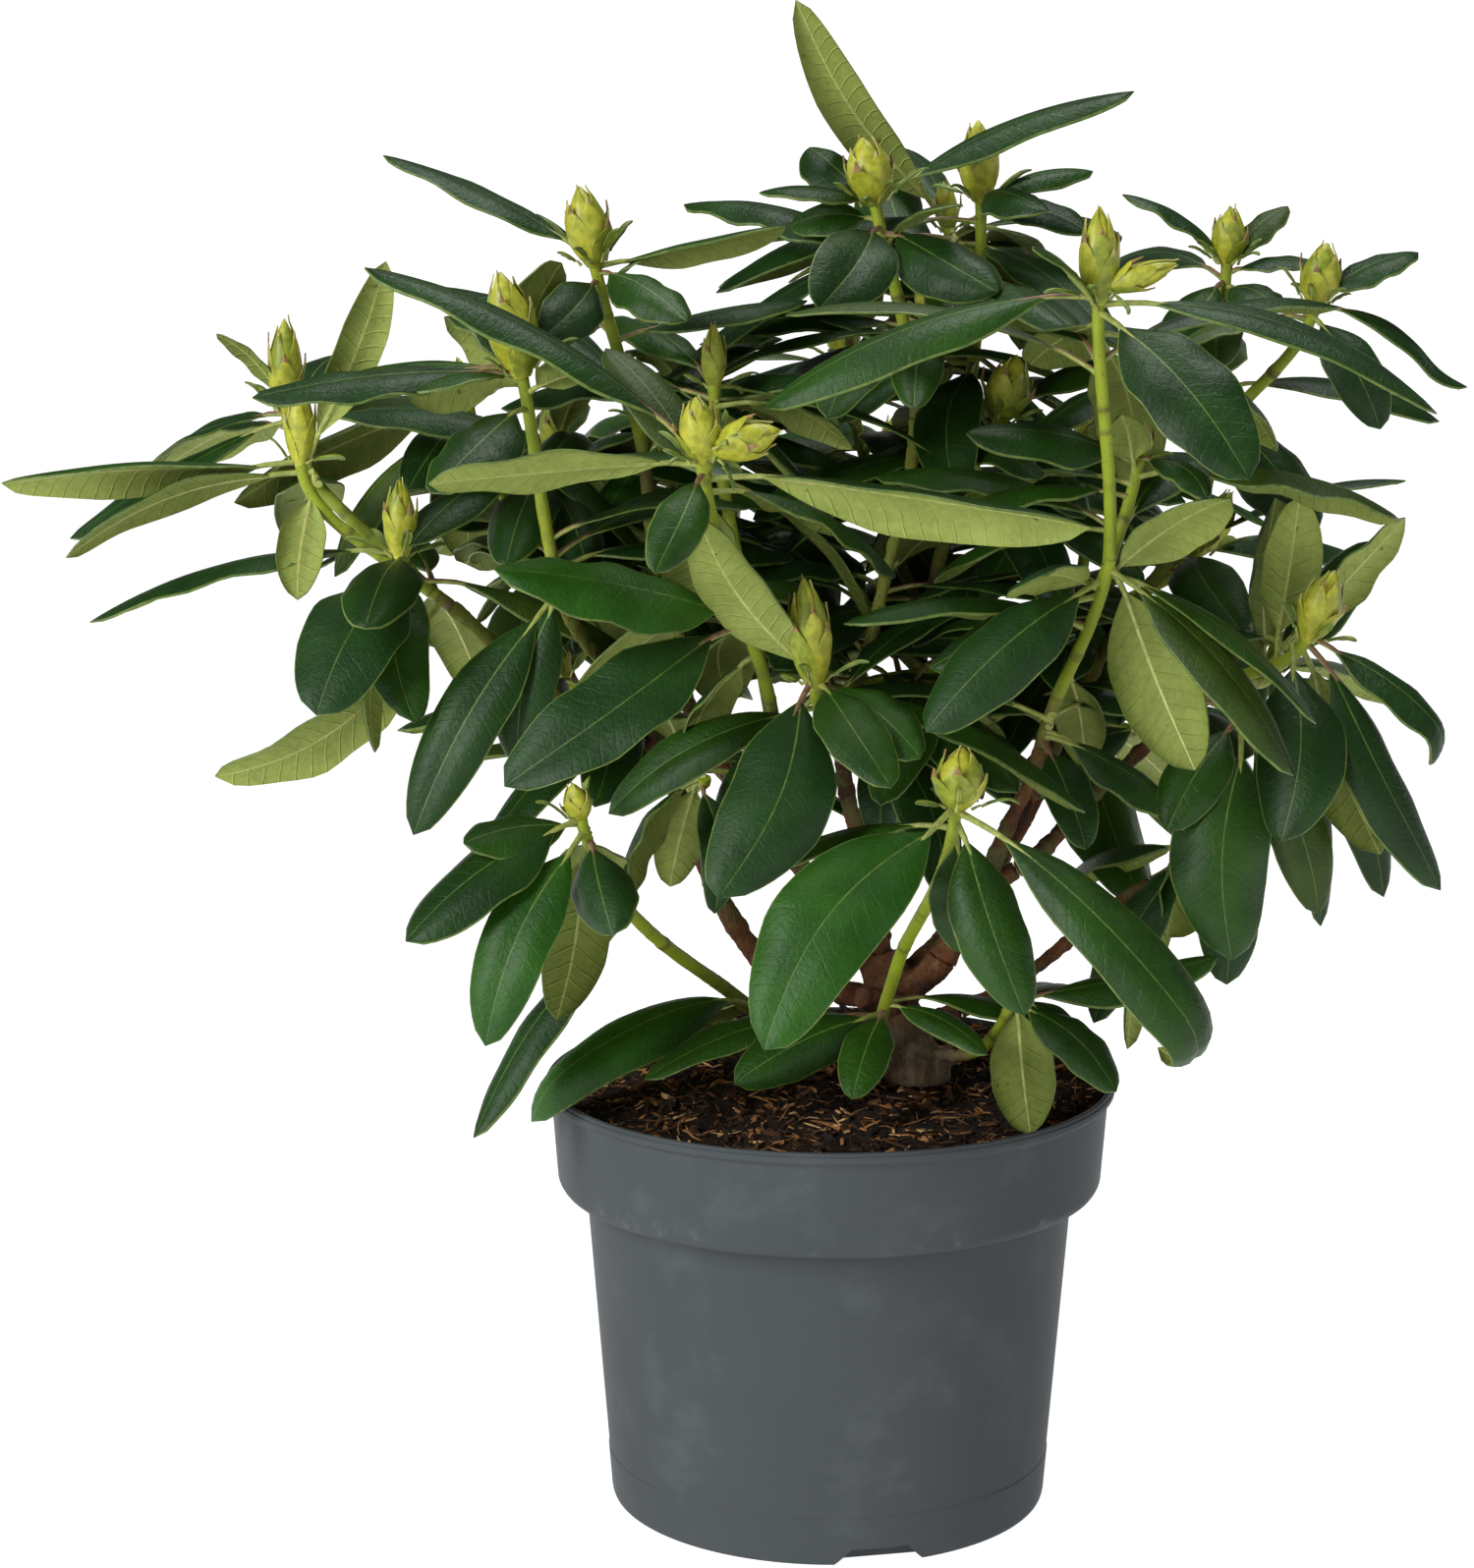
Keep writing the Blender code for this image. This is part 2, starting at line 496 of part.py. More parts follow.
MASSES = {
    "foliage_far_left": ("far_left_tip", [
        Shoot("N", tip=(-166, -42, 392), lean=(0, 0, 1), bud=(27, 12), leaves=[
            (-118, -26, 10, 0, 28, 20), (-7, -20, 70, -0.1, 28), (-27, -54, 58, -1, 38),
            (8, -60, 40, -1, 26), (-9, -74, 25, 0.5, 18)]),
        Shoot("N_low", on="N", at=0.3, leaves=[(-76, -74, 26, 1.2, 26, -28)], full=2),
        Shoot("D", on="N", at=0.2, tip=(-203, -45, 428), bud=(27, 11), leaves=[
            (-111, -8, 15, 0.6, 24, -3), (36, 75, 25, 0.9, 18, 8), (-86, -35, 25, 0.6, 24, 20),
            (0, -52, 20, 1, 18)], full=5),
        Shoot("C", on="N", at=0.3, tip=(-213, -5, 445), bud=(33, 13), leaves=[
            (-25, 28, 10, 0.6, 9), (-56, -27, -15, -0.3, 22), (-89, -46, 0, -0.3, 26, 14), (17, 14, 5, 0, 8)],
            full=5),
    ]),
    "foliage_left_high": ("left_high_tip", [
        Shoot("B", tip=(-118, -70, 465), lean=(-0.2, -0.1, 1), bud=(35, 18), leaves=[
            (-81, 8, -4, -0.2, 24, 10), (-96, -10, 28, -0.3, 24, 12), (-40, -8, 20, 0.8, 24),
            (14, 36, -35, 1, 26), (32, -2, 35, 0.9, 22), (-30, 16, -30, 0.9, 22),
            (-29, -42, 55, -1, 27)]),
        Shoot("W", on="B", at=0.12, leaves=[(-54, -94, 32, -1, 27), (-15, -70, 20, -0.8, 24)], full=4),
    ]),
    "foliage_left_back": ("left_back", [
        Shoot("P", tip=(-145, 30, 443), lean=(-0.2, 0, 1), bud=(18, 9), leaves=[
            (-90, -37, 30, 1, 28), (-20, -30, 50, -1, 22), (-50, -65, 40, 0, 18)]),
        Shoot("V", on="P", at=0.6, tip=(-110, 22, 424), bud=(22, 11)),
    ]),
    "foliage_left_top": ("left_top_tip", [
        Shoot("A", tip=(-92, -30, 503), lean=(-0.2, 0, 1), bud=(27, 16), leaves=[
            (-80, 38, -10, -0.25, 26, 12), (73, 12, 10, 0.3, 24, 0), (36, -22, 40, -0.5, 22),
            (-21, -25, 30, -1, 22),
            (-17, 20, 5, 0, 7), (27, 2, 5, 0, 7)], full=4),
        Shoot("A_low", on="A", at=0.72, leaves=[(75, 11, 0, -0.15, 20, 12)], full=2),
    ]),
    "foliage_front_left": ("front_left_tip", [
        Shoot("E", tip=(-50, -130, 437), lean=(-0.1, -0.1, 1), bud=(21, 14), leaves=[
            (-120, 66, -10, -0.1, 26, 18), (-96, -8, 20, 0.6, 28, 10), (-16, -38, 35, -1.2, 19),
            (138, -24, 15, 0.8, 28, 14), (-25, 20, 8, 0.3, 8), (-35, 36, -30, -0.5, 22)]),
        Shoot("E_side", on="E", at=0.96, tip=(-43, -132, 440), lean=(1, -0.1, 0.3), bud=(22, 14), full=0),
        Shoot("E_low", on="E", at=0.55, leaves=[
            (-89, 24, 40, -0.8, 36), (-86, -54, 45, -1, 34), (-81, 16, 10, -0.3, 22),
            (85, -20, 22, -0.2, 20, 34)],
            full=6),
        Shoot("O", on="E", at=0.1, tip=(-46, -40, 456), bud=(22, 9), leaves=[(54, -28, -30, 0.3, 20)],
            full=5),
    ]),
    "foliage_front_middle": ("front_middle", [
        Shoot("F", tip=(-9, -95, 352), lean=(-0.1, -0.2, 1), bud=(38, 15), leaves=[
            (-35, -72, 58, -1.2, 38), (27, -33, 50, -0.8, 24), (38, -20, 35, -0.6, 24),
            (-42, 64, 46, 1.2, 26, 4)], full=7),
    ]),
    "foliage_middle": ("middle_back", [
        Shoot("mid_1", tip=(22, 26, 375), lean=(0.1, 0.3, 1)),
        Shoot("mid_2", on="mid_1", at=0.2, tip=(52, 14, 346), lean=(0.6, 0.1, 1), leaves=[
            (-24, -78, 12, -1, 28)], full=5),
        Shoot("mid_3", on="mid_1", at=0.1, tip=(-6, 26, 338), lean=(-0.3, 0.5, 1), full=5),
    ]),
    "foliage_middle_top": ("middle_top", [
        Shoot("K", tip=(15, -15, 525), lean=(-0.2, 0, 1), bud=(23, 17), leaves=[
            (100, 40, -10, -0.2, 24, 12), (-44, 2, 10, -0.2, 20), (-25, 18, -30, -0.6, 24),
            (-32, -11, -5, -0.6, 22), (-22, -40, 52, -1.1, 30), (45, -34, 45, -1, 28),
            (-84, -74, -18, -0.35, 24, 8), (32, -2, 30, -0.3, 16)]),
        Shoot("Q", on="K", at=0.2, tip=(40, 18, 478), bud=(17, 14), full=5),
    ]),
    "foliage_top": ("top", [
        Shoot("L", tip=(58, 17, 526), lean=(-0.05, -0.1, 1), bud=(28, 15), leaves=[
            (22, -6, 45, -0.8, 22), (45, 8, -10, -0.3, 16), (41, -15, 20, -0.5, 22)], full=6),
        Shoot("L_back", on="L", at=0.82, tip=(47, 44, 512), lean=(-0.1, 0.2, 1), bud=(18, 9), leaves=[
            (-62, 87, 57, 1.4, 20, -6)], full=6),
        Shoot("R", on="L", at=0.25, tip=(66, 2, 441), lean=(0.3, -0.1, 1), bud=(23, 17), full=6),
    ]),
    "foliage_front_right": ("front_right", [
        Shoot("X", tip=(101, -85, 394), lean=(0.15, -0.2, 1), leaves=[
            (31, -76, 20, 1.5, 32), (66, -76, 30, -0.6, 24), (73, -62, 20, -0.1, 22),
            (-70, -58, 40, -1.1, 30),
            (40, 26, 30, 1, 26), (-40, -6, 45, 0.9, 24), (-60, -34, 30, -0.9, 26)], full=7),
        Shoot("H", on="X", at=0.98, tip=(93, -105, 493), bud=(31, 14), leaves=[
            (-121, -40, 15, -0.35, 28), (121, -42, 15, -0.3, 26), (49, -62, 52, -1.2, 34),
            (-26, 17, 30, -0.5, 14), (-21, -28, -40, 1.2, 24)]),
        Shoot("H_side", on="H", at=0.97, tip=(98, -107, 496), lean=(1, -0.1, 0.35), bud=(24, 9), full=0),
        Shoot("H_low", on="H", at=0.76, leaves=[(-118, 6, -10, 0.1, 24)], full=3),
        Shoot("T", on="X", at=0.9, tip=(113, -66, 431), lean=(0.1, 0.2, 1), bud=(12, 9), leaves=[
            (20, -25, 30, -0.8, 14), (-66, 10, 20, -0.6, 26), (-10, 18, 30, 1, 16)], full=5),
        Shoot("X_foot", on="X", at=0.08, leaves=[
            (14, -42, 25, -1, 20), (59, -36, 15, -0.7, 20), (57, -46, -10, -0.6, 14)], full=6),
    ]),
    "foliage_right_high": ("right_high", [
        Shoot("I", tip=(157, 30, 500), lean=(0.05, 0, 1), bud=(20, 13), leaves=[
            (-42, 25, 0, -0.2, 18), (25, 20, -10, -0.3, 16), (36, -2, 5, -0.2, 18), (-27, -31, 25, -1, 22),
            (16, -18, 30, -0.8, 20)], full=6),
        Shoot("I_low", on="I", at=0.86, leaves=[
            (-8, -26, 34, -1, 22), (-36, -4, 14, -0.8, 20), (30, -14, 20, -0.8, 20)], full=4),
        Shoot("J", on="I", at=0.1, tip=(189, 5, 485), lean=(0.15, 0, 1), bud=(22, 15), leaves=[
            (40, 18, -5, -0.4, 22), (60, -34, 0, -0.3, 18, 42, -60), (23, -49, 20, -1, 21, 36),
            (-57, -17, 20, -0.1, 22)], full=4),
        Shoot("Y", on="I", at=0.35, leaves=[(38, -49, 30, -1, 30)], full=4),
    ]),
    "foliage_right": ("right_tip", [
        Shoot("M", tip=(183, -40, 360), lean=(0.35, -0.1, 1), bud=(26, 15), leaves=[
            (46, -50, 10, -0.5, 20, 16, 95), (50, -97, 20, -0.6, 26), (29, -86, 5, 1, 30),
            (-15, -74, 40, -1.1, 34)], full=5),
        Shoot("M_low", on="M", at=0.72, leaves=[
            (48, 52, -12, 0.9, 26, 10), (10, 60, 4, 1, 24)], full=2),
        Shoot("Z", on="M", at=0.15, tip=(158, -38, 324), lean=(0, -0.6, 0.6), leaves=[
            (-5, -88, 25, -1, 38), (31, -74, 6, -0.9, 24), (-30, -40, 20, -0.8, 24)], full=4),
        Shoot("Z_back", on="M", at=0.2, tip=(178, 16, 338), lean=(0.5, 0.4, 1), bud=(18, 10), leaves=[
            (45, -92, 10, -0.6, 22), (20, -104, 10, -0.5, 18), (34, 52, 10, -0.6, 26, 10),
            (11, 70, 16, 1, 26, 10)],
            full=5),
    ]),
    "foliage_right_low": ("right_low_tip", [
        Shoot("S", tip=(152, -8, 278), lean=(0.5, 0, 1), bud=(16, 9), leaves=[
            (-22, -42, 10, 1, 30), (4, -60, 20, -0.8, 24), (-40, -82, 10, -0.6, 22),
            (-58, -76, -10, 0.5, 20)],
            full=6),
    ]),
    "foliage_foot_right": ("foot_right", [
        Shoot("foot", tip=(72, -48, 222), lean=(0.3, -0.2, 1), leaves=[
            (2, -56, 14, 1.2, 25), (30, -26, 6, -0.8, 18), (36, -34, 30, -0.6, 20),
            (78, 12, -18, -0.3, 20, 8)], full=5),
    ]),
    "foliage_front_low": ("front_foot", [
        Shoot("G", tip=(43, -125, 310), lean=(0.1, 0, 1), bud=(20, 18), via=[(25, -52, 232)], leaves=[
            (-71, -78, 58, -1.3, 40), (72, -86, 25, -0.9, 27, 36, 130), (23, -72, 33, -0.9, 26),
            (6, -60, -14, -0.9, 24)], full=5),
        Shoot("G_low", on="G", at=0.22, leaves=[
            (-94, -20, 32, -0.5, 17), (-60, -20, 40, -0.7, 24), (-14, -24, 46, -0.8, 20),
            (38, -8, 40, -0.6, 14)],
            full=5),
    ]),
    "foliage_low_left": ("low_left", [
        Shoot("U", tip=(-96, -90, 298), lean=(-0.2, -0.3, 1), bud=(14, 10), via=[(-38, 6, 205)], leaves=[
            (-63, -40, 35, -0.6, 30, 20), (-42, -9, 20, -0.9, 24, 8), (-34, -79, 38, -1, 27, 32),
            (-9, -76, 10, 1.2, 25), (13, -37, 38, -1, 24)],
            full=6),
        Shoot("U_low", on="U", at=0.72, leaves=[(-58, -85, 26, -0.3, 20, 8)], full=1),
        Shoot("U_foot", on="U", at=0.18, leaves=[(-85, -37, 46, -0.7, 27, 50, 40),
            (-24, -20, -40, 0, 24)], full=2),
    ]),
    "foliage_left_low": ("left_low", [
        Shoot("left_low", tip=(-50, -22, 300), lean=(-0.1, -0.4, 1), leaves=[
            (-31, -46, 14, 0.5, 24, 40), (4, -48, 30, -0.5, 16), (-14, -48, -20, 1, 20)], full=6),
    ]),
    "foliage_back_left": ("back_left_tip", [
        Shoot("back_1", tip=(-66, 118, 410), lean=(-0.1, 0.2, 1), bud=(27, 14)),
        Shoot("back_2", on="back_1", at=0.25, tip=(-122, 112, 384), lean=(-0.5, 0.2, 1), bud=(25, 13)),
        Shoot("back_3", on="back_1", at=0.45, tip=(-44, 160, 372), lean=(0.1, 0.6, 1), bud=(26, 13)),
    ]),
    "foliage_back_low_left": ("back_low_left", [
        Shoot("back_4", tip=(-112, 118, 318), lean=(-0.5, 0.3, 1), bud=(22, 12)),
        Shoot("back_5", on="back_4", at=0.3, tip=(-72, 146, 300), lean=(0, 0.7, 1), bud=(20, 11), full=7),
    ]),
    "foliage_back_middle": ("back_middle_tip", [
        Shoot("back_6", tip=(8, 112, 456), lean=(-0.1, 0.1, 1), bud=(28, 14)),
        Shoot("back_7", on="back_6", at=0.3, tip=(30, 156, 404), lean=(0.1, 0.5, 1), bud=(26, 13)),
        Shoot("back_8", on="back_6", at=0.3, tip=(-74, 84, 434), lean=(-0.3, 0, 1), bud=(24, 12)),
        Shoot("back_14", on="back_6", at=0.06, tip=(26, 124, 330), lean=(0.1, 0.9, 0.5), full=5),
    ]),
    "foliage_back_right": ("back_right_tip", [
        Shoot("back_9", tip=(112, 112, 408), lean=(0, 0.2, 1), bud=(27, 14)),
        Shoot("back_10", on="back_9", at=0.3, tip=(158, 92, 378), lean=(0.5, 0, 1), bud=(25, 13)),
        Shoot("back_11", on="back_9", at=0.4, tip=(82, 150, 376), lean=(-0.1, 0.6, 1), bud=(25, 13)),
    ]),
    "foliage_back_low_right": ("back_low_right", [
        Shoot("back_12", tip=(148, 112, 300), lean=(0.5, 0.3, 1), bud=(22, 12)),
        Shoot("back_13", on="back_12", at=0.35, tip=(104, 150, 292), lean=(0, 0.7, 1), bud=(20, 11), full=7),
    ]),
}


# Growing the plan.

class Cap:
    """A flat end that the next limb grows on from."""
    def __init__(self, place, heading, radius):
        self.place = place
        self.heading = heading.normalized()
        self.radius = radius

    def start(self):
        return self.place + self.heading * GAP


def fuse(name, meshes, look):
    """Joins closed meshes into one solid object, and drops what the union seals off or leaves loose."""
    whole = mesh_object(name, meshes[0], look)
    if len(meshes) == 1:
        return whole
    others = bpy.data.collections.new(name + "_parts")
    bpy.context.scene.collection.children.link(others)
    for index, mesh in enumerate(meshes[1:]):
        others.objects.link(bpy.data.objects.new(f"{name}_part_{index}", mesh))
    union = whole.modifiers.new("union", "BOOLEAN")
    union.operation = "UNION"
    union.operand_type = "COLLECTION"
    union.collection = others
    union.solver = "MANIFOLD"
    graph = bpy.context.evaluated_depsgraph_get()
    joined = bpy.data.meshes.new_from_object(whole.evaluated_get(graph))
    whole.modifiers.clear()
    whole.data = largest_body(joined)
    whole.data.materials.clear()
    whole.data.materials.append(look)
    for part in list(others.objects):
        bpy.data.objects.remove(part, do_unlink=True)
    bpy.data.collections.remove(others)
    return whole


def largest_body(mesh):
    bm = bmesh.new()
    bm.from_mesh(mesh)
    bmesh.ops.dissolve_limit(bm, angle_limit=math.radians(FLAT_ANGLE), verts=bm.verts, edges=bm.edges)
    bmesh.ops.triangulate(bm, faces=bm.faces)
    left = set(bm.verts)
    bodies = []
    while left:
        body = set()
        edge_of_body = [left.pop()]
        while edge_of_body:
            vert = edge_of_body.pop()
            body.add(vert)
            for edge in vert.link_edges:
                other = edge.other_vert(vert)
                if other in left:
                    left.discard(other)
                    edge_of_body.append(other)
        bodies.append(body)
    keep = max(bodies, key=len)
    loose = [vert for body in bodies if body is not keep for vert in body]
    bmesh.ops.delete(bm, geom=loose, context="VERTS")
    bm.to_mesh(mesh)
    bm.free()
    return mesh


def grow_trunk(caps):
    line = [millimetres(*point) for point in TRUNK_LINE]
    path = smooth_path(line, UP, line[-1] - line[-2], step=12 * MM)
    radii = [radius * MM for radius in TRUNK_RADII]
    meshes = [tube_mesh("trunk", path, radii, 9, UP, UP)]
    for arm in TRUNK_ARMS:
        start, tip, heading = millimetres(*arm.start), millimetres(*arm.tip), Vector(arm.heading)
        radius = arm.radius * MM
        meshes.append(tube_mesh(arm.name, smooth_path([start, tip], tip - start, heading),
                                [radius * 1.15, radius], LIMB_SIDES, None, heading))
        caps[arm.name] = Cap(tip, heading, radius)
    return meshes


def grow_bough(bough, caps):
    cap = caps[bough.on]
    points = [cap.start()] + [millimetres(*point) for point in bough.via] + [millimetres(*bough.tip)]
    lean = Vector(bough.lean).normalized()
    end_radius = max(2.8 * MM, cap.radius * BOUGH_TAPER)
    path = smooth_path(points, cap.heading, lean)
    meshes = [tube_mesh(bough.name, path, [cap.radius, end_radius], LIMB_SIDES, cap.heading,
                        lean)]
    for name, heading in bough.arms.items():
        if heading is None:
            caps[name] = Cap(path[-1], lean, end_radius)
            continue
        heading = Vector(heading).normalized()
        radius = end_radius * 0.82
        start = path[-1] - lean * radius
        tip = path[-1] + heading * end_radius * ARM_REACH
        meshes.append(tube_mesh(name, [start, start.lerp(tip, 0.5), tip], [radius, radius], LIMB_SIDES, None,
                                heading))
        caps[name] = Cap(tip, heading, radius)
    return meshes


def grow_shoots(shoots, cap):
    """The stems and buds of a mass, and for each shoot its path."""
    paths = {}
    meshes = []
    for shoot in shoots:
        if shoot.tip is None:
            paths[shoot.name] = paths[shoot.on]
            continue
        lean = Vector(shoot.lean).normalized()
        tip = millimetres(*shoot.tip)
        if shoot.on is None:
            start, first, radius = cap.start(), cap.heading, cap.radius
        else:
            start, first = along(paths[shoot.on], shoot.at)
            first = (first + (tip - start).normalized() * 1.4).normalized()
            radius = SHOOT_RADIUS * 1.1
        points = [start] + [millimetres(*point) for point in shoot.via] + [tip]
        path = smooth_path(points, first, lean)
        square = first if shoot.on is None else None
        meshes.append(tube_mesh(shoot.name, path, [radius, max(SHOOT_RADIUS, radius * 0.7)], STEM_SIDES,
                                square, lean))
        if shoot.bud:
            length, width = shoot.bud
            meshes.append(bud_mesh("bud", tip, lean, length * MM, width * MM))
        paths[shoot.name] = path
    return meshes, paths


def leaf_root(shoot, path, number):
    """The leaves of a bud's whorl sit below it, and those of a bare whorl round its own place."""
    length = sum((b - a).length for a, b in zip(path, path[1:]))
    if shoot.tip is None:
        place = shoot.at + (number - 2) * LEAF_SPACING / length
    else:
        place = 1 - (1.5 * MM + number * LEAF_SPACING) / length
    return along(path, min(max(place, 0.02), 1))[0]


def whorl_centre(shoot, path):
    return along(path, shoot.at if shoot.tip is None else 1)[0]


def measured_leaf(shoot, path, number, entry):
    right, up, near, face, width, *bend = entry
    arch, curl = bend + [ARCH, 0][len(bend):]
    tip = whorl_centre(shoot, path) + millimetres(right, -near, up)
    return Leaf(leaf_root(shoot, path, number), tip, Vector((0, face, 1)), width * MM,
                CURLED_STATIONS if curl else NEAR_STATIONS, arch, curl)


def ruled_leaf(shoot, path, number, turn, chance):
    """A leaf of the hidden side: spread by the golden angle, the lower ones hanging more."""
    rise = math.radians(22 - 9 * number + chance.uniform(-9, 9))
    length = chance.uniform(82, 118) * MM
    outward = Vector((math.cos(turn), math.sin(turn), 0))
    root = leaf_root(shoot, path, number)
    tip = root + (outward * math.cos(rise) + UP * math.sin(rise)) * length
    return Leaf(root, tip, UP + outward * 0.3, length * LEAF_WIDTH_SHARE * chance.uniform(0.9, 1.15),
                FAR_STATIONS)


def settle(leaf, node, space, chance):
    """Turns a leaf a little about its root until it grows through nothing. None if it can't."""
    for attempt in range(TRIES):
        sizes = [(leaf_mesh(leaf, swell), leaf_mesh(leaf, swell, start=0.3)) for swell in (0, TEST_SWELL)]
        if all(space.is_free(node, mesh, outer) for mesh, outer in sizes):
            space.add(node, *sizes[-1])
            return leaf
        reach = math.radians(1.5 + attempt)
        axis = Vector([chance.uniform(-1, 1) for _ in range(3)]).normalized()
        swing = Quaternion(axis, chance.choice((-1, 1)) * reach)
        leaf = Leaf(leaf.root, leaf.root + swing @ (leaf.tip - leaf.root), swing @ leaf.face, leaf.width,
                    leaf.stations, leaf.arch, leaf.curl)
    return None


def gap_to(turns, turn):
    """Degrees from a heading to the nearest one that is taken."""
    gaps = [abs((math.degrees(turn - other) + 180) % 360 - 180) for other in turns]
    return min(gaps, default=180)


def grow_leaves(space, stems):
    """The leaves of each mass: those measured first, then those that fill each whorl by rule."""
    leaves = {mass: [] for mass in MASSES}
    turns = {}
    for mass, (_, shoots) in MASSES.items():
        for shoot in shoots:
            path = stems[mass][shoot.name]
            chance = random.Random(f"{SEED} {shoot.name}")
            turns[shoot.name] = []
            for number, entry in enumerate(shoot.leaves):
                leaf = settle(measured_leaf(shoot, path, number, entry), mass, space, chance)
                if leaf:
                    leaves[mass].append(leaf)
                if entry[4] > BRACT_WIDTH:
                    turns[shoot.name].append(math.atan2(-entry[2], entry[0]))
    for mass, (_, shoots) in MASSES.items():
        for shoot in shoots:
            path = stems[mass][shoot.name]
            chance = random.Random(f"{SEED} fill {shoot.name}")
            turn = chance.uniform(0, math.tau)
            on_near_side = whorl_centre(shoot, path).y < NEAR_SIDE
            for number in range(3 * WHORL):
                if len(turns[shoot.name]) >= shoot.full:
                    break
                turn += math.radians(GOLDEN_ANGLE)
                if gap_to(turns[shoot.name], turn) < 33 or (on_near_side and -math.sin(turn) > 0.25):
                    continue
                order = len(turns[shoot.name])
                leaf = settle(ruled_leaf(shoot, path, order, turn, chance), mass, space, chance)
                if leaf:
                    leaves[mass].append(leaf)
                    turns[shoot.name].append(turn)
    return leaves


def grow():
    """Each node's meshes before they are fused, each shoot's path, and each mass's leaves."""
    space = Space()
    for name in ("pot", "growing_medium"):
        space.add(name, bpy.data.objects[name].data)
    caps = {"front_foot": Cap(millimetres(*FRONT_FOOT), Vector(FRONT_HEADING), SHOOT_RADIUS * 1.25)}
    limbs = {"trunk": grow_trunk(caps)}
    for bough in BOUGHS:
        limbs[bough.name] = grow_bough(bough, caps)
    stems = {}
    for mass, (on, shoots) in MASSES.items():
        limbs[mass], stems[mass] = grow_shoots(shoots, caps[on])
    for node, meshes in limbs.items():
        for mesh in meshes:
            space.add(node, mesh)
    return limbs, stems, grow_leaves(space, stems)


def build():
    clear_scene()
    slate = material("pot_plastic", (0.075, 0.088, 0.095), 0.5)
    soil = material("bark_compost", (0.045, 0.024, 0.013), 1.0)
    bark = material("bark", (0.12, 0.06, 0.035), 0.9)
    green = material("leaf_green", (0.035, 0.095, 0.022), 0.45)
    make_pot(slate)
    make_medium(soil)
    limbs, _, leaves = grow()
    for node, meshes in limbs.items():
        grown = meshes + [leaf_mesh(leaf) for leaf in leaves.get(node, [])]
        fuse(node, grown, green if node in MASSES else bark)


build()
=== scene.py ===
"""The looks of a young rhododendron in bud, growing in a grey nursery pot.

Metres, +Z up, -Y to the front. The file goes as the plant is put together: the pot and its compost first,
then the trunk and the boughs, the green shoots, the leaves and the buds.
"""
import math
import random

import bmesh
import bpy
import numpy as np
from mathutils import Matrix, Quaternion, Vector, noise
from mathutils.bvhtree import BVHTree


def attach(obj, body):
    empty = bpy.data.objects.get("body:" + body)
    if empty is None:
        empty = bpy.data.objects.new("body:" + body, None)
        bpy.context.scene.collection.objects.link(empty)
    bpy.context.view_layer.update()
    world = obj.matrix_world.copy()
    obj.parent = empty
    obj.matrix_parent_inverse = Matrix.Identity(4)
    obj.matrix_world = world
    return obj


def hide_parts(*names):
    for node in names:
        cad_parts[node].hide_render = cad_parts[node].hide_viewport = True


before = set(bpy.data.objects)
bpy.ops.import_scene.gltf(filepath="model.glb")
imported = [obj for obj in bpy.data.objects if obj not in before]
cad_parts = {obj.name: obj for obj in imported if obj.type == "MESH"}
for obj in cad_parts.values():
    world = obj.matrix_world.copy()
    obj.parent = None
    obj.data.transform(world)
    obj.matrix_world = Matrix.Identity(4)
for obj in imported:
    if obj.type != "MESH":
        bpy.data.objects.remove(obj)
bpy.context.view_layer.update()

# The pot is a five litre container, moulded in slate grey polypropylene with a wide collar and a rolled
# rim. The plastic is satin, scratched along the collar's lower edge, and has a chalky bloom in places.
MM = 0.001
UP = Vector((0, 0, 1))
POT_STEPS = 144
POT_HEIGHT = 0.174
RIM_RADIUS = 0.115
BASE_RADIUS = 0.0882
BODY_SLOPE = 0.0795
COLLAR_FOOT = 0.1307
COLLAR_RADIUS = 0.1098
COLLAR_TOP_RADIUS = 0.1124
WALL = 0.0015
FLOOR = 0.0030
SEAM_HEIGHT = 0.0195
NOTCHES = 3
NOTCH_AZIMUTH = 12        # degrees to the right of the front
NOTCH_WIDTH = 0.036
NOTCH_HEIGHT = 0.0068
NOTCH_BACK = 0.0792
LEDGE = 0.0086
LEDGE_RADIUS = 0.0774
CHANNEL = (0.052, 0.073)
CHANNEL_DEPTH = 0.0012
SLATE = (0.060, 0.068, 0.073)
BLOOM = (0.30, 0.33, 0.33)


class Value:
    """A number that varies over a surface, so that its maths reads as Python."""
    def __init__(self, finish, socket):
        self.finish = finish
        self.socket = socket

    def maths(self, operation, first, second=None):
        values = {0: first} if second is None else {0: first, 1: second}
        return self.finish.node("Math", {"operation": operation}, values)

    def __add__(self, other):
        return self.maths("ADD", self, other)

    def __radd__(self, other):
        return self.maths("ADD", other, self)

    def __sub__(self, other):
        return self.maths("SUBTRACT", self, other)

    def __rsub__(self, other):
        return self.maths("SUBTRACT", other, self)

    def __mul__(self, other):
        return self.maths("MULTIPLY", self, other)

    def __rmul__(self, other):
        return self.maths("MULTIPLY", other, self)

    def __abs__(self):
        return self.maths("ABSOLUTE", self)

    def fraction(self):
        return self.maths("FRACT", self)

    def least(self, other):
        return self.maths("MINIMUM", self, other)

    def most(self, other):
        return self.maths("MAXIMUM", self, other)

    def between(self, low, high):
        """0 below low, 1 above high, and eased between them."""
        return self.finish.node("MapRange", {"interpolation_type": "SMOOTHSTEP"}, {0: self, 1: low, 2: high})


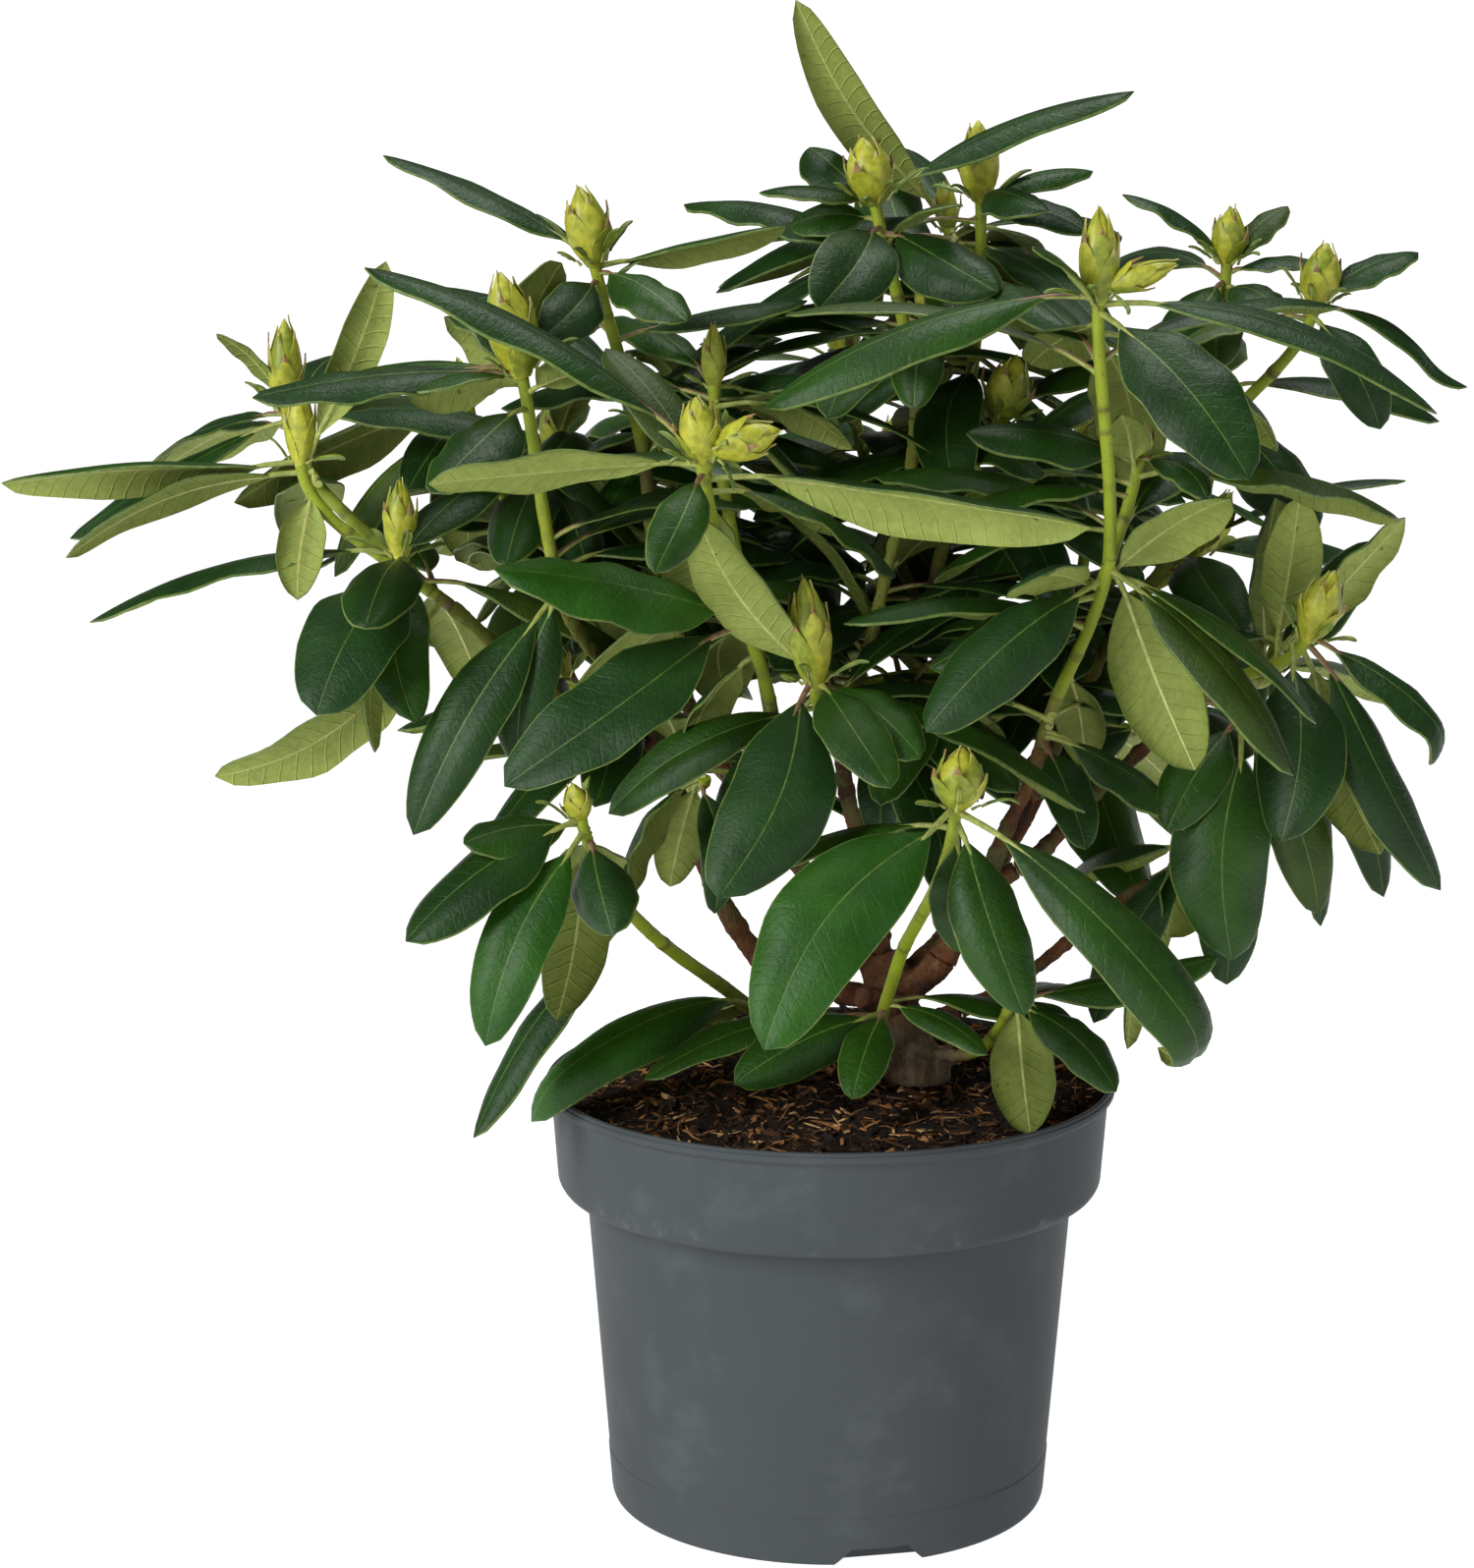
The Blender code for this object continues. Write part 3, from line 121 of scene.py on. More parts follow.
class Finish:
    """A surface finish: a Principled material, and one method that adds any node to it."""
    def __init__(self, name, colour, roughness, coat=0.0, specular=0.5):
        self.material = bpy.data.materials.new(name)
        self.material.use_nodes = True
        self.tree = self.material.node_tree
        self.shader = self.tree.nodes["Principled BSDF"]
        self.material.diffuse_color = (*colour, 1)
        self.shader.inputs["Base Color"].default_value = (*colour, 1)
        self.shader.inputs["Roughness"].default_value = roughness
        self.shader.inputs["Coat Weight"].default_value = coat
        self.shader.inputs["Specular IOR Level"].default_value = specular

    def node(self, kind, settings, inputs, output=0):
        made = self.tree.nodes.new("ShaderNode" + kind)
        for key, value in settings.items():
            setattr(made, key, value)
        for key, value in inputs.items():
            self.feed(made.inputs[key], value)
        return Value(self, made.outputs[output])

    def feed(self, socket, value):
        if isinstance(value, Value):
            self.tree.links.new(value.socket, socket)
        elif isinstance(value, tuple) and len(value) == 3 and socket.type == "RGBA":
            socket.default_value = (*value, 1)
        else:
            socket.default_value = value

    def place(self):
        return self.node("TexCoord", {}, {}, "Object")

    def speckle(self, scale, detail=2.0, rough=0.5, stretch=None):
        """Noise from 0 to 1 in the piece's own space; a stretch draws it out along Z."""
        where = self.place()
        if stretch:
            where = self.node("Mapping", {}, {"Vector": where, "Scale": stretch})
        return self.node("TexNoise", {},
                         {"Vector": where, "Scale": scale, "Detail": detail, "Roughness": rough})

    def blend(self, first, second, share):
        return self.node("Mix", {"data_type": "RGBA"}, {0: share, 6: first, 7: second}, 2)

    def colour(self, value):
        self.feed(self.shader.inputs["Base Color"], value)

    def roughness(self, value):
        self.feed(self.shader.inputs["Roughness"], value)

    def relief(self, height, depth, strength=1.0):
        """Bump of a depth in metres."""
        bumped = self.node("Bump", {}, {"Height": height, "Distance": depth, "Strength": strength})
        self.feed(self.shader.inputs["Normal"], bumped)


def edit_all(piece, *steps):
    """Runs edit-mode operators, each given as a function, on all of one piece."""
    bpy.ops.object.select_all(action="DESELECT")
    bpy.context.view_layer.objects.active = piece
    piece.select_set(True)
    bpy.ops.object.mode_set(mode="EDIT")
    for step in steps:
        bpy.ops.mesh.select_all(action="SELECT")
        step()
    bpy.ops.object.mode_set(mode="OBJECT")


def apply_modifier(piece, kind, **settings):
    bpy.ops.object.select_all(action="DESELECT")
    bpy.context.view_layer.objects.active = piece
    piece.select_set(True)
    added = piece.modifiers.new(kind.lower(), kind)
    for key, value in settings.items():
        setattr(added, key, value)
    bpy.ops.object.modifier_apply(modifier=added.name)


def new_piece(name, places, faces, finishes, edges=()):
    mesh = bpy.data.meshes.new(name)
    mesh.from_pydata(places, edges, faces)
    piece = bpy.data.objects.new(name, mesh)
    bpy.context.scene.collection.objects.link(piece)
    for finish in finishes:
        mesh.materials.append(finish.material)
    return piece


def shade(piece, degrees=40):
    bpy.ops.object.select_all(action="DESELECT")
    bpy.context.view_layer.objects.active = piece
    piece.select_set(True)
    bpy.ops.object.shade_smooth_by_angle(angle=math.radians(degrees))


def eased(corners, radius, steps=4):
    """The same outline with each inner corner rounded off."""
    line = [Vector(corner) for corner in corners]
    result = [line[0]]
    for before, corner, after in zip(line, line[1:], line[2:]):
        into, out = before - corner, after - corner
        reach = min(radius, into.length * 0.45, out.length * 0.45)
        start, end = corner + into.normalized() * reach, corner + out.normalized() * reach
        for number in range(steps + 1):
            t = number / steps
            result.append(start * (1 - t) ** 2 + corner * 2 * t * (1 - t) + end * t ** 2)
    result.append(line[-1])
    return [(radius_here, height) for radius_here, height in result]


def turned_piece(name, profile, finishes):
    """A closed shell spun about the Z axis from (radius, height) points."""
    count = len(profile)
    piece = new_piece(name, [(radius, 0, height) for radius, height in profile], [], finishes,
                      [(number, number + 1) for number in range(count - 1)])
    edit_all(piece,
             lambda: bpy.ops.mesh.spin(steps=POT_STEPS, angle=math.tau, center=(0, 0, 0), axis=(0, 0, 1)),
             lambda: bpy.ops.mesh.remove_doubles(threshold=0.00002),
             lambda: bpy.ops.mesh.normals_make_consistent(inside=False))
    return piece


def body_radius(height):
    return BASE_RADIUS + BODY_SLOPE * height


def pot_corners():
    under = COLLAR_FOOT
    return [
        (0, 0), (CHANNEL[0], 0), (CHANNEL[0] + 0.002, CHANNEL_DEPTH), (CHANNEL[1] - 0.002, CHANNEL_DEPTH),
        (CHANNEL[1], 0), (BASE_RADIUS - 0.0002, 0), (body_radius(0.002) + 0.0003, 0.0022),
        (body_radius(SEAM_HEIGHT) + 0.0003, SEAM_HEIGHT), (body_radius(SEAM_HEIGHT), SEAM_HEIGHT + 0.0006),
        (body_radius(under), under), (COLLAR_RADIUS - 0.0018, under), (COLLAR_RADIUS, under + 0.0030),
        (COLLAR_TOP_RADIUS, 0.1684), (RIM_RADIUS - 0.0010, 0.1692), (RIM_RADIUS, 0.1700),
        (RIM_RADIUS, 0.1722), (RIM_RADIUS - 0.0007, 0.1726), (RIM_RADIUS - 0.0007, 0.1736),
        (RIM_RADIUS - 0.0017, POT_HEIGHT), (RIM_RADIUS - 0.0028, 0.1736), (COLLAR_TOP_RADIUS - WALL, 0.1680),
        (COLLAR_RADIUS - WALL - 0.0006, under + 0.0040), (body_radius(under) - WALL, under - 0.0020),
        (body_radius(LEDGE) - WALL, LEDGE), (LEDGE_RADIUS, LEDGE), (LEDGE_RADIUS - 0.002, FLOOR), (0, FLOOR),
    ]


def cut_notch(pot, index):
    """A recess in the foot, cut with a bar whose ends slope."""
    turn = math.radians(NOTCH_AZIMUTH + index * 360 / NOTCHES)
    bpy.ops.object.select_all(action="DESELECT")
    bpy.ops.mesh.primitive_cube_add(size=1)
    bar = bpy.context.object
    for vert in bar.data.vertices:
        height = math.copysign(NOTCH_HEIGHT, vert.co.z)
        half = NOTCH_WIDTH / 2 - height
        depth = -NOTCH_BACK if vert.co.y > 0 else -BASE_RADIUS - 0.01
        vert.co = Vector((math.copysign(half, vert.co.x), depth, height))
    bar.data.transform(Matrix.Rotation(turn, 4, "Z"))
    apply_modifier(pot, "BOOLEAN", operation="DIFFERENCE", solver="EXACT", object=bar)
    bpy.data.objects.remove(bar)


def slate_plastic():
    finish = Finish("pot_plastic", SLATE, 0.42, specular=0.015)
    height = finish.node("SeparateXYZ", {}, {0: finish.place()}, "Z")
    edge = (1 - abs(height - COLLAR_FOOT - 0.004) * 190).most(0) * 0.8
    patches = finish.speckle(26, 5, 0.65).between(0.52, 0.72)
    streaks = finish.speckle(130, 3, 0.6, (1, 1, 0.25)).between(0.42, 0.75)
    chalk = (patches * streaks * edge + patches * 0.06).least(0.55)
    cloud = finish.speckle(9, 3, 0.6)
    worn = finish.blend(tuple(part * 0.9 for part in SLATE), tuple(part * 1.13 for part in SLATE), cloud)
    finish.colour(finish.blend(worn, BLOOM, chalk))
    finish.roughness(0.40 + chalk * 0.3 + cloud * 0.06)
    grain = finish.speckle(900, 2, 0.5) + finish.speckle(14, 2, 0.5) * 2.2
    finish.relief(grain, 0.00012)
    return finish


pot = turned_piece("pot_shell", eased(pot_corners(), 0.0014), [slate_plastic()])
for notch in range(NOTCHES):
    cut_notch(pot, notch)
shade(pot)
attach(pot, "root")
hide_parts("pot")

# The compost is shredded bark and peat, mounded round the trunk and a little higher at the back. Its top is
# an uneven crust with loose chips, shreds and a few fine pale roots lying on it.
MEDIUM_HEIGHT = 0.169
MEDIUM_SLOPE = 0.05
MEDIUM_MOUND = 0.006
CRUST_RINGS = 70
CHIPS = 2600
SHREDS = 1500
FINE_ROOTS = 9
PEAT = (0.010, 0.005, 0.003)
CHIP_TINTS = [("chip_black", (0.014, 0.008, 0.005), 0.36), ("chip_brown", (0.070, 0.030, 0.012), 0.34),
              ("chip_orange", (0.27, 0.115, 0.036), 0.22), ("chip_tan", (0.50, 0.30, 0.13), 0.08)]


def medium_height(x, y):
    radius = math.hypot(x, y) / COLLAR_RADIUS
    return MEDIUM_HEIGHT + MEDIUM_SLOPE * y + MEDIUM_MOUND * (1 - radius ** 2)


def crust_height(x, y):
    """The crust stands up to a few millimetres over or under the even mound."""
    lumps = noise.fractal(Vector((x, y, 0)) * 90, 0.7, 2.1, 5) * 2.0
    crumbs = noise.fractal(Vector((x, y, 5)) * 420, 0.8, 2.0, 3) * 0.7
    return medium_height(x, y) + (lumps + crumbs) * MM - 0.6 * MM


class Heap:
    """Gathers many small closed meshes, to be made into one piece."""
    def __init__(self):
        self.places = []
        self.faces = []
        self.slots = []
        self.marks = []
        self.count = 0

    def add(self, places, faces, slot, marks=None):
        """slot is one number, or one for each face; marks are a (u, v) pair for each place."""
        self.places.extend(places)
        self.faces.extend(tuple(number + self.count for number in face) for face in faces)
        self.slots.extend([slot] * len(faces) if isinstance(slot, int) else slot)
        self.marks.extend(marks if marks is not None else [(0, 0)] * len(places))
        self.count += len(places)

    def piece(self, name, finishes, node, slot, degrees=50):
        made = new_piece(name, self.places, self.faces, finishes)
        mesh = made.data
        mesh.polygons.foreach_set("material_index", self.slots)
        corners = np.empty(len(mesh.loops), int)
        mesh.loops.foreach_get("vertex_index", corners)
        layer = mesh.uv_layers.new(name="blade_map")
        layer.data.foreach_set("uv", np.array(self.marks, float)[corners].ravel())
        shade(made, degrees)
        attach(made, "root")
        if node:
            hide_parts(node)
        return made


def chip(length, width, height, chance):
    """A torn flake of bark: a bar with uneven corners."""
    places = []
    for x in (-0.5, 0.5):
        for y, z in ((-0.5, -0.5), (0.5, -0.5), (0.5, 0.5), (-0.5, 0.5)):
            taper = chance.uniform(0.35, 1.0)
            end = x * length * chance.uniform(0.7, 1.0)
            places.append(Vector((end, y * width * taper, z * height * taper)))
    faces = [(0, 1, 2, 3), (7, 6, 5, 4), (0, 4, 5, 1), (1, 5, 6, 2), (2, 6, 7, 3), (3, 7, 4, 0)]
    return places, faces


def strand(points, radius, sides=3, sink=0.35):
    """A thin round strand along points, pinched at its ends."""
    places = []
    faces = []
    for index, point in enumerate(points):
        after = points[min(index + 1, len(points) - 1)]
        before = points[max(index - 1, 0)]
        ahead = (after - before).normalized()
        across = ahead.orthogonal().normalized()
        other = ahead.cross(across)
        girth = radius * (sink if index in (0, len(points) - 1) else 1)
        for side in range(sides):
            turn = math.tau * side / sides
            places.append(point + (across * math.cos(turn) + other * math.sin(turn)) * girth)
    for index in range(len(points) - 1):
        for side in range(sides):
            after = (side + 1) % sides
            low, high = index * sides, (index + 1) * sides
            faces.append((low + side, low + after, high + after, high + side))
    faces.append(tuple(range(sides))[::-1])
    faces.append(tuple((len(points) - 1) * sides + side for side in range(sides)))
    return places, faces


def peat_finish():
    finish = Finish("compost_peat", PEAT, 0.95, specular=0.25)
    crumbs = finish.speckle(230, 6, 0.7)
    fleck = finish.speckle(640, 3, 0.6).between(0.60, 0.74)
    dark = finish.blend((0.004, 0.0024, 0.0018), (0.026, 0.012, 0.006), crumbs.between(0.3, 0.75))
    finish.colour(finish.blend(dark, (0.16, 0.072, 0.028), fleck * 0.7))
    finish.relief(crumbs + finish.speckle(900, 2, 0.5) * 0.4, 0.0012)
    return finish


def chip_finish(name, colour):
    finish = Finish(name, colour, 0.9, specular=0.3)
    fibres = finish.speckle(380, 4, 0.7)
    dark = tuple(part * 0.5 for part in colour)
    light = tuple(part * 1.6 for part in colour)
    finish.colour(finish.blend(dark, light, fibres))
    finish.relief(fibres, 0.0004)
    return finish


def make_crust():
    under = COLLAR_FOOT
    clear = WALL + 0.5 * MM
    outer = COLLAR_TOP_RADIUS - clear - 0.5 * MM
    top = [(outer * ring / CRUST_RINGS, 0.1665) for ring in range(CRUST_RINGS + 1)]
    side = [
        (COLLAR_RADIUS - clear - 0.0006, under + 0.0044), (body_radius(under) - clear, under - 0.0018),
        (body_radius(LEDGE) - clear, LEDGE + 0.6 * MM), (LEDGE_RADIUS - 0.6 * MM, LEDGE + 0.6 * MM),
        (LEDGE_RADIUS - 0.0026, FLOOR + 0.3 * MM), (0, FLOOR + 0.3 * MM),
    ]
    crust = turned_piece("compost_body", top + side, [peat_finish()])
    for vert in crust.data.vertices:
        if vert.co.z > 0.166:
            vert.co.z = crust_height(vert.co.x, vert.co.y)
    shade(crust, 60)
    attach(crust, "root")
    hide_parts("growing_medium")
    return outer


def scatter_chips(outer):
    chance = random.Random(5)
    heap = Heap()
    shares = [share for _, _, share in CHIP_TINTS]
    for number in range(CHIPS + SHREDS):
        radius = outer * math.sqrt(chance.random()) * 0.985
        turn = chance.uniform(0, math.tau)
        x, y = radius * math.cos(turn), radius * math.sin(turn)
        spin = Matrix.Rotation(chance.uniform(0, math.tau), 3, "Z")
        tilt = Matrix.Rotation(chance.gauss(0, 0.45), 3, "X") @ Matrix.Rotation(chance.gauss(0, 0.35), 3, "Y")
        base = Vector((x, y, crust_height(x, y) + chance.uniform(-0.2, 0.9) * MM))
        tint = chance.choices(range(len(CHIP_TINTS)), shares)[0]
        longest = (outer - radius) * 1.9
        if number < CHIPS:
            length = min(chance.lognormvariate(1.3, 0.55) * MM, 13 * MM, longest)
            width = length * chance.uniform(0.22, 0.5)
            places, faces = chip(length, width, length * chance.uniform(0.08, 0.2), chance)
        else:
            length = min(chance.uniform(5, 15) * MM, longest)
            bow = chance.uniform(-0.18, 0.18) * length
            places, faces = strand([Vector((length * (t - 0.5), bow * 4 * t * (1 - t), 0))
                                    for t in (0, 0.35, 0.7, 1)], chance.uniform(0.2, 0.5) * MM)
        heap.add([base + spin @ (tilt @ place) for place in places], faces, tint)
    tints = [chip_finish(name, colour) for name, colour, _ in CHIP_TINTS]
    heap.piece("compost_chips", tints, None, "growing_medium", 30)


def lay_fine_roots(outer):
    """Pale hair roots that lie on the compost near the pot's left wall."""
    chance = random.Random(12)
    heap = Heap()
    for _ in range(FINE_ROOTS):
        turn = math.radians(200 + 22 * chance.gauss(0, 1))
        here = Vector((math.cos(turn), math.sin(turn))) * outer * chance.uniform(0.82, 0.97)
        heading = chance.uniform(0, math.tau)
        points = []
        for _ in range(12):
            height = crust_height(here.x, here.y) + chance.uniform(0.3, 1.6) * MM
            points.append(Vector((here.x, here.y, height)))
            heading += chance.uniform(-0.5, 0.5)
            here = here + Vector((math.cos(heading), math.sin(heading))) * 1.7 * MM
            if here.length > outer * 0.98:
                break
        if len(points) > 3:
            places, faces = strand(points, 0.13 * MM)
            heap.add(places, faces, 0)
    heap.piece("compost_fine_roots", [Finish("fine_root", (0.36, 0.27, 0.17), 0.8)], None, "growing_medium")


compost_radius = make_crust()
scatter_chips(compost_radius)
lay_fine_roots(compost_radius)

# The trunk and the boughs are old wood: short, leaning and forked, grey-brown and flaking, with rings where
# each year's bud scales were, and a green bloom of algae. Each is built up from tubes along its real line,
# melted together and roughened.
GAP = 0.3 * MM            # clear space between pieces that grow on from each other
BOUGH_TAPER = 0.74
ARM_REACH = 2.8           # length of a fork's stub, in radii
PATH_STEP = 32 * MM
LIMB_SIDES = 5
FINE_STEP = 1.6 * MM
WOOD_SIDES = 18
WOOD_VOXEL = 0.8 * MM
YEAR_RING = 21 * MM       # from one year's ring of scars to the next
RING_SWELL = 0.16         # how far a ring of scars stands out, in radii
BUMPS = 0.09              # how far a limb's uneven growth does
WAIST = 0.16              # how much slimmer a limb is half way between its forks


def millimetres(*values):
    return Vector(values) * MM


def smooth_path(points, first, last, step=PATH_STEP):
    """Points along a smooth line through the given ones, leaving along first and arriving along last."""
    count = len(points)
    tangents = []
    for index in range(count):
        before = points[max(index - 1, 0)]
        after = points[min(index + 1, count - 1)]
        tangents.append((after - before) / 2)
    tangents[0] = first.normalized() * (points[1] - points[0]).length
    tangents[-1] = last.normalized() * (points[-1] - points[-2]).length
    path = [points[0].copy()]
    for index in range(count - 1):
        start, end = points[index], points[index + 1]
        steps = max(2, round((end - start).length / step))
        for number in range(1, steps + 1):
            t = number / steps
            path.append(start * (2 * t ** 3 - 3 * t ** 2 + 1) + tangents[index] * (t ** 3 - 2 * t ** 2 + t)
                        + end * (3 * t ** 2 - 2 * t ** 3) + tangents[index + 1] * (t ** 3 - t ** 2))
    return path


def along(path, share):
    """The place and direction at a share of a path's length."""
    lengths = [(b - a).length for a, b in zip(path, path[1:])]
    left = share * sum(lengths)
    for index, length in enumerate(lengths):
        if left <= length or index == len(lengths) - 1:
            direction = (path[index + 1] - path[index]).normalized()
            return path[index] + direction * min(left, length), direction
        left -= length


def between(values, share):
    """The value at a share of the way along a list of evenly spaced ones."""
    place = share * (len(values) - 1)
    index = min(int(place), len(values) - 2)
    return values[index] + (values[index + 1] - values[index]) * (place - index)


def swept(path, radii, sides, first=None, last=None):
    """A tube's places and faces: its ends are flat, and square to its first and last direction."""
    places, faces = [], []
    frame_side = None
    for index, point in enumerate(path):
        if index == 0:
            direction = first or (path[1] - path[0])
        elif index == len(path) - 1:
            direction = last or (path[-1] - path[-2])
        else:
            direction = path[index + 1] - path[index - 1]
        direction = direction.normalized()
        if frame_side is None:
            frame_side = direction.orthogonal().normalized()
        frame_side = (frame_side - direction * frame_side.dot(direction)).normalized()
        other = direction.cross(frame_side)
        radius = between(radii, index / (len(path) - 1))
        for side in range(sides):
            turn = math.tau * side / sides
            places.append(point + (frame_side * math.cos(turn) + other * math.sin(turn)) * radius)
    for index in range(len(path) - 1):
        low, high = index * sides, (index + 1) * sides
        for side in range(sides):
            after = (side + 1) % sides
            faces.append((low + side, low + after, high + after, high + side))
    faces.append(tuple(range(sides))[::-1])
    faces.append(tuple((len(path) - 1) * sides + side for side in range(sides)))
    return places, faces


class Limb:
    """One tapering limb: its line, its radii, and the directions that it leaves and ends in."""
    def __init__(self, points, first, last, radii, start_direction, end_direction, step=PATH_STEP):
        self.points = points
        self.first = first
        self.last = last
        self.radii = radii
        self.start_direction = start_direction
        self.end_direction = end_direction
        self.step = step

    def coarse(self, sides):
        """The plain tube that leaves are kept clear of."""
        return tube_mesh("limb", self.line(self.step), self.radii, sides, self.start_direction,
                         self.end_direction)

    def line(self, step):
        if self.first is None:
            return self.points
        return smooth_path(self.points, self.first, self.last, step)

    def fine(self, sides, chance):
        """The limb as it shows, with its yearly rings and swellings."""
        path = smooth_path(self.points, self.first or self.points[1] - self.points[0],
                           self.last or self.points[-1] - self.points[-2], FINE_STEP)
        length = sum((b - a).length for a, b in zip(path, path[1:]))
        rings = []
        place = YEAR_RING * chance.uniform(0.2, 1)
        while place < length - 3 * MM:
            rings.append(place)
            place += YEAR_RING * chance.uniform(0.6, 1.4)
        radii = []
        for index in range(len(path)):
            share = index / (len(path) - 1)
            here = share * length
            swelling = sum(math.exp(-((here - place) / (1.5 * MM)) ** 2) for place in rings)
            bump = noise.noise(path[index] * 160) * BUMPS
            slim = WAIST * math.sin(math.pi * share)
            radii.append(between(self.radii, share) * (1 + RING_SWELL * swelling + bump - slim))
        return swept(path, radii, sides, self.start_direction, self.end_direction)


class Arm:
    """A short stub at a fork, which a bough or a mass grows on from."""
    def __init__(self, name, start, tip, heading, radius):
        self.name = name
        self.start = start
        self.tip = tip
        self.heading = heading
        self.radius = radius


class Bough:
    """A woody limb from an arm to its own fork. Its arms point along their headings."""
    def __init__(self, name, on, tip, lean, arms, via=()):
        self.name = name
        self.on = on
        self.tip = tip
        self.lean = lean
        self.arms = arms
        self.via = via


class Cap:
    """A flat end that the next limb grows on from."""
    def __init__(self, place, heading, radius):
        self.place = place
        self.heading = heading.normalized()
        self.radius = radius

    def start(self):
        return self.place + self.heading * GAP


# Places and lengths are in millimetres.
TRUNK_LINE = [(35, -11, 175.0), (32, -7, 187), (26, 3, 204), (20, 11, 222)]
TRUNK_RADII = [13.5, 11.5, 10.5, 9.0]

TRUNK_ARMS = [
    Arm("left", (24, 5, 203), (-12, 22, 208), (-1, 0.1, 0.35), 5.5),
    Arm("low_left", (26, 0, 193), (-4, 1, 194), (-1, -0.05, 0.15), 3.4),
    Arm("front_left", (21, 9, 215), (2, 0, 233), (-0.5, -0.3, 1), 4.4),
    Arm("middle", (20, 11, 220), (17, 5, 245), (-0.2, -0.2, 1), 4.6),
    Arm("right", (25, 4, 204), (45, 0, 222), (0.6, 0.0, 1), 6.4),
    Arm("right_low", (28, -2, 192), (52, -8, 203), (1, -0.1, 0.35), 3.6),
    Arm("back_left", (20, 11, 214), (2, 34, 232), (-0.5, 0.8, 0.8), 5.0),
    Arm("back_middle", (20, 11, 220), (20, 34, 246), (0.0, 0.6, 1), 5.0),
    Arm("back_right", (23, 7, 208), (46, 28, 222), (0.8, 0.8, 0.8), 5.0),
    Arm("foot_right", (29, -4, 187), (50, -24, 188), (0.9, -0.8, 0.2), 2.6),
]

BOUGHS = [
    Bough("bough_left", "left", (-68, 12, 306), (-0.35, -0.1, 1),
          {"far_left": (-1, -0.15, 0.4), "left_high": (-0.3, -0.7, 1), "left_back": (-0.4, 0.8, 0.8),
           "left_low": (0.7, -1, -0.1)},
          via=[(-39, 25, 232)]),
    Bough("bough_far_left", "far_left", (-148, -30, 369), (-0.9, -0.25, 0.8), {"far_left_tip": None}),
    Bough("bough_left_high", "left_high", (-103, -46, 372), (-0.3, -0.4, 1), {"left_high_tip": None}),
    Bough("bough_front_left", "front_left", (-24, -30, 304), (-0.2, -0.45, 1),
          {"front_left_tip": (0.1, -0.9, 0.9), "left_top": (-0.8, 0.1, 0.9)}),
    Bough("bough_left_top", "left_top", (-72, 2, 405), (-0.05, 0, 1), {"left_top_tip": None},
          via=[(-55, -20, 345)]),
    Bough("bough_middle", "middle", (3, -30, 322), (0, -0.4, 1),
          {"front_middle": (-0.3, -1, 0.6), "middle_high": (0.4, 0.1, 1), "middle_back": (0.2, 1, 0.3)}),
    Bough("bough_middle_high", "middle_high", (32, -12, 440), (0.0, 0.1, 1), {"middle_top": None},
          via=[(20, -30, 380)]),
    Bough("bough_right", "right", (63, 0, 252), (0.4, 0, 1),
          {"right_front": (0.2, -0.6, 1), "right_side": (1, -0.1, 0.6), "right_back": (0.5, 0.75, 0.9)}),
    Bough("bough_right_front", "right_front", (81, -30, 314), (0.2, -0.3, 1), {"front_right": None}),
    Bough("bough_right_side", "right_side", (146, -8, 330), (0.7, -0.2, 0.7), {"right_tip": None},
          via=[(108, 8, 290)]),
    Bough("bough_right_back", "right_back", (152, 34, 415), (0.1, 0, 1), {"right_high": None},
          via=[(112, 42, 340)]),
    Bough("bough_right_low", "right_low", (128, -4, 254), (1, 0.1, 0.5), {"right_low_tip": None}),
    Bough("bough_back_left", "back_left", (-58, 88, 312), (-0.4, 0.3, 1),
          {"back_left_tip": (-0.2, 0.5, 1), "back_low_left": (-1, 0.5, 0.3)}),
    Bough("bough_back_middle", "back_middle", (40, 60, 350), (0.1, 0.1, 1),
          {"top": (0.2, -0.3, 1), "back_middle_tip": (-0.35, 0.9, 0.8)}),
    Bough("bough_back_right", "back_right", (100, 84, 300), (0.4, 0.3, 1),
          {"back_right_tip": (0.1, 0.5, 1), "back_low_right": (0.9, 0.6, 0.25)}),
]


def trunk_limbs(caps):
    line = [millimetres(*point) for point in TRUNK_LINE]
    radii = [radius * MM for radius in TRUNK_RADII]
    limbs = [Limb(line, UP, line[-1] - line[-2], radii, UP, UP, step=12 * MM)]
    for arm in TRUNK_ARMS:
        start, tip, heading = millimetres(*arm.start), millimetres(*arm.tip), Vector(arm.heading)
        radius = arm.radius * MM
        limbs.append(Limb([start, tip], tip - start, heading, [radius * 1.15, radius], None, heading))
        caps[arm.name] = Cap(tip, heading, radius)
    return limbs


def bough_limbs(bough, caps):
    cap = caps[bough.on]
    points = [cap.start()] + [millimetres(*point) for point in bough.via] + [millimetres(*bough.tip)]
    lean = Vector(bough.lean).normalized()
    end_radius = max(2.8 * MM, cap.radius * BOUGH_TAPER)
    limbs = [Limb(points, cap.heading, lean, [cap.radius, end_radius], cap.heading, lean)]
    top = smooth_path(points, cap.heading, lean)[-1]
    for name, heading in bough.arms.items():
        if heading is None:
            caps[name] = Cap(top, lean, end_radius)
            continue
        heading = Vector(heading).normalized()
        radius = end_radius * 0.82
        start = top - lean * radius
        tip = top + heading * end_radius * ARM_REACH
        limbs.append(Limb([start, start.lerp(tip, 0.5), tip], None, None, [radius, radius], None, heading))
        caps[name] = Cap(tip, heading, radius)
    return limbs


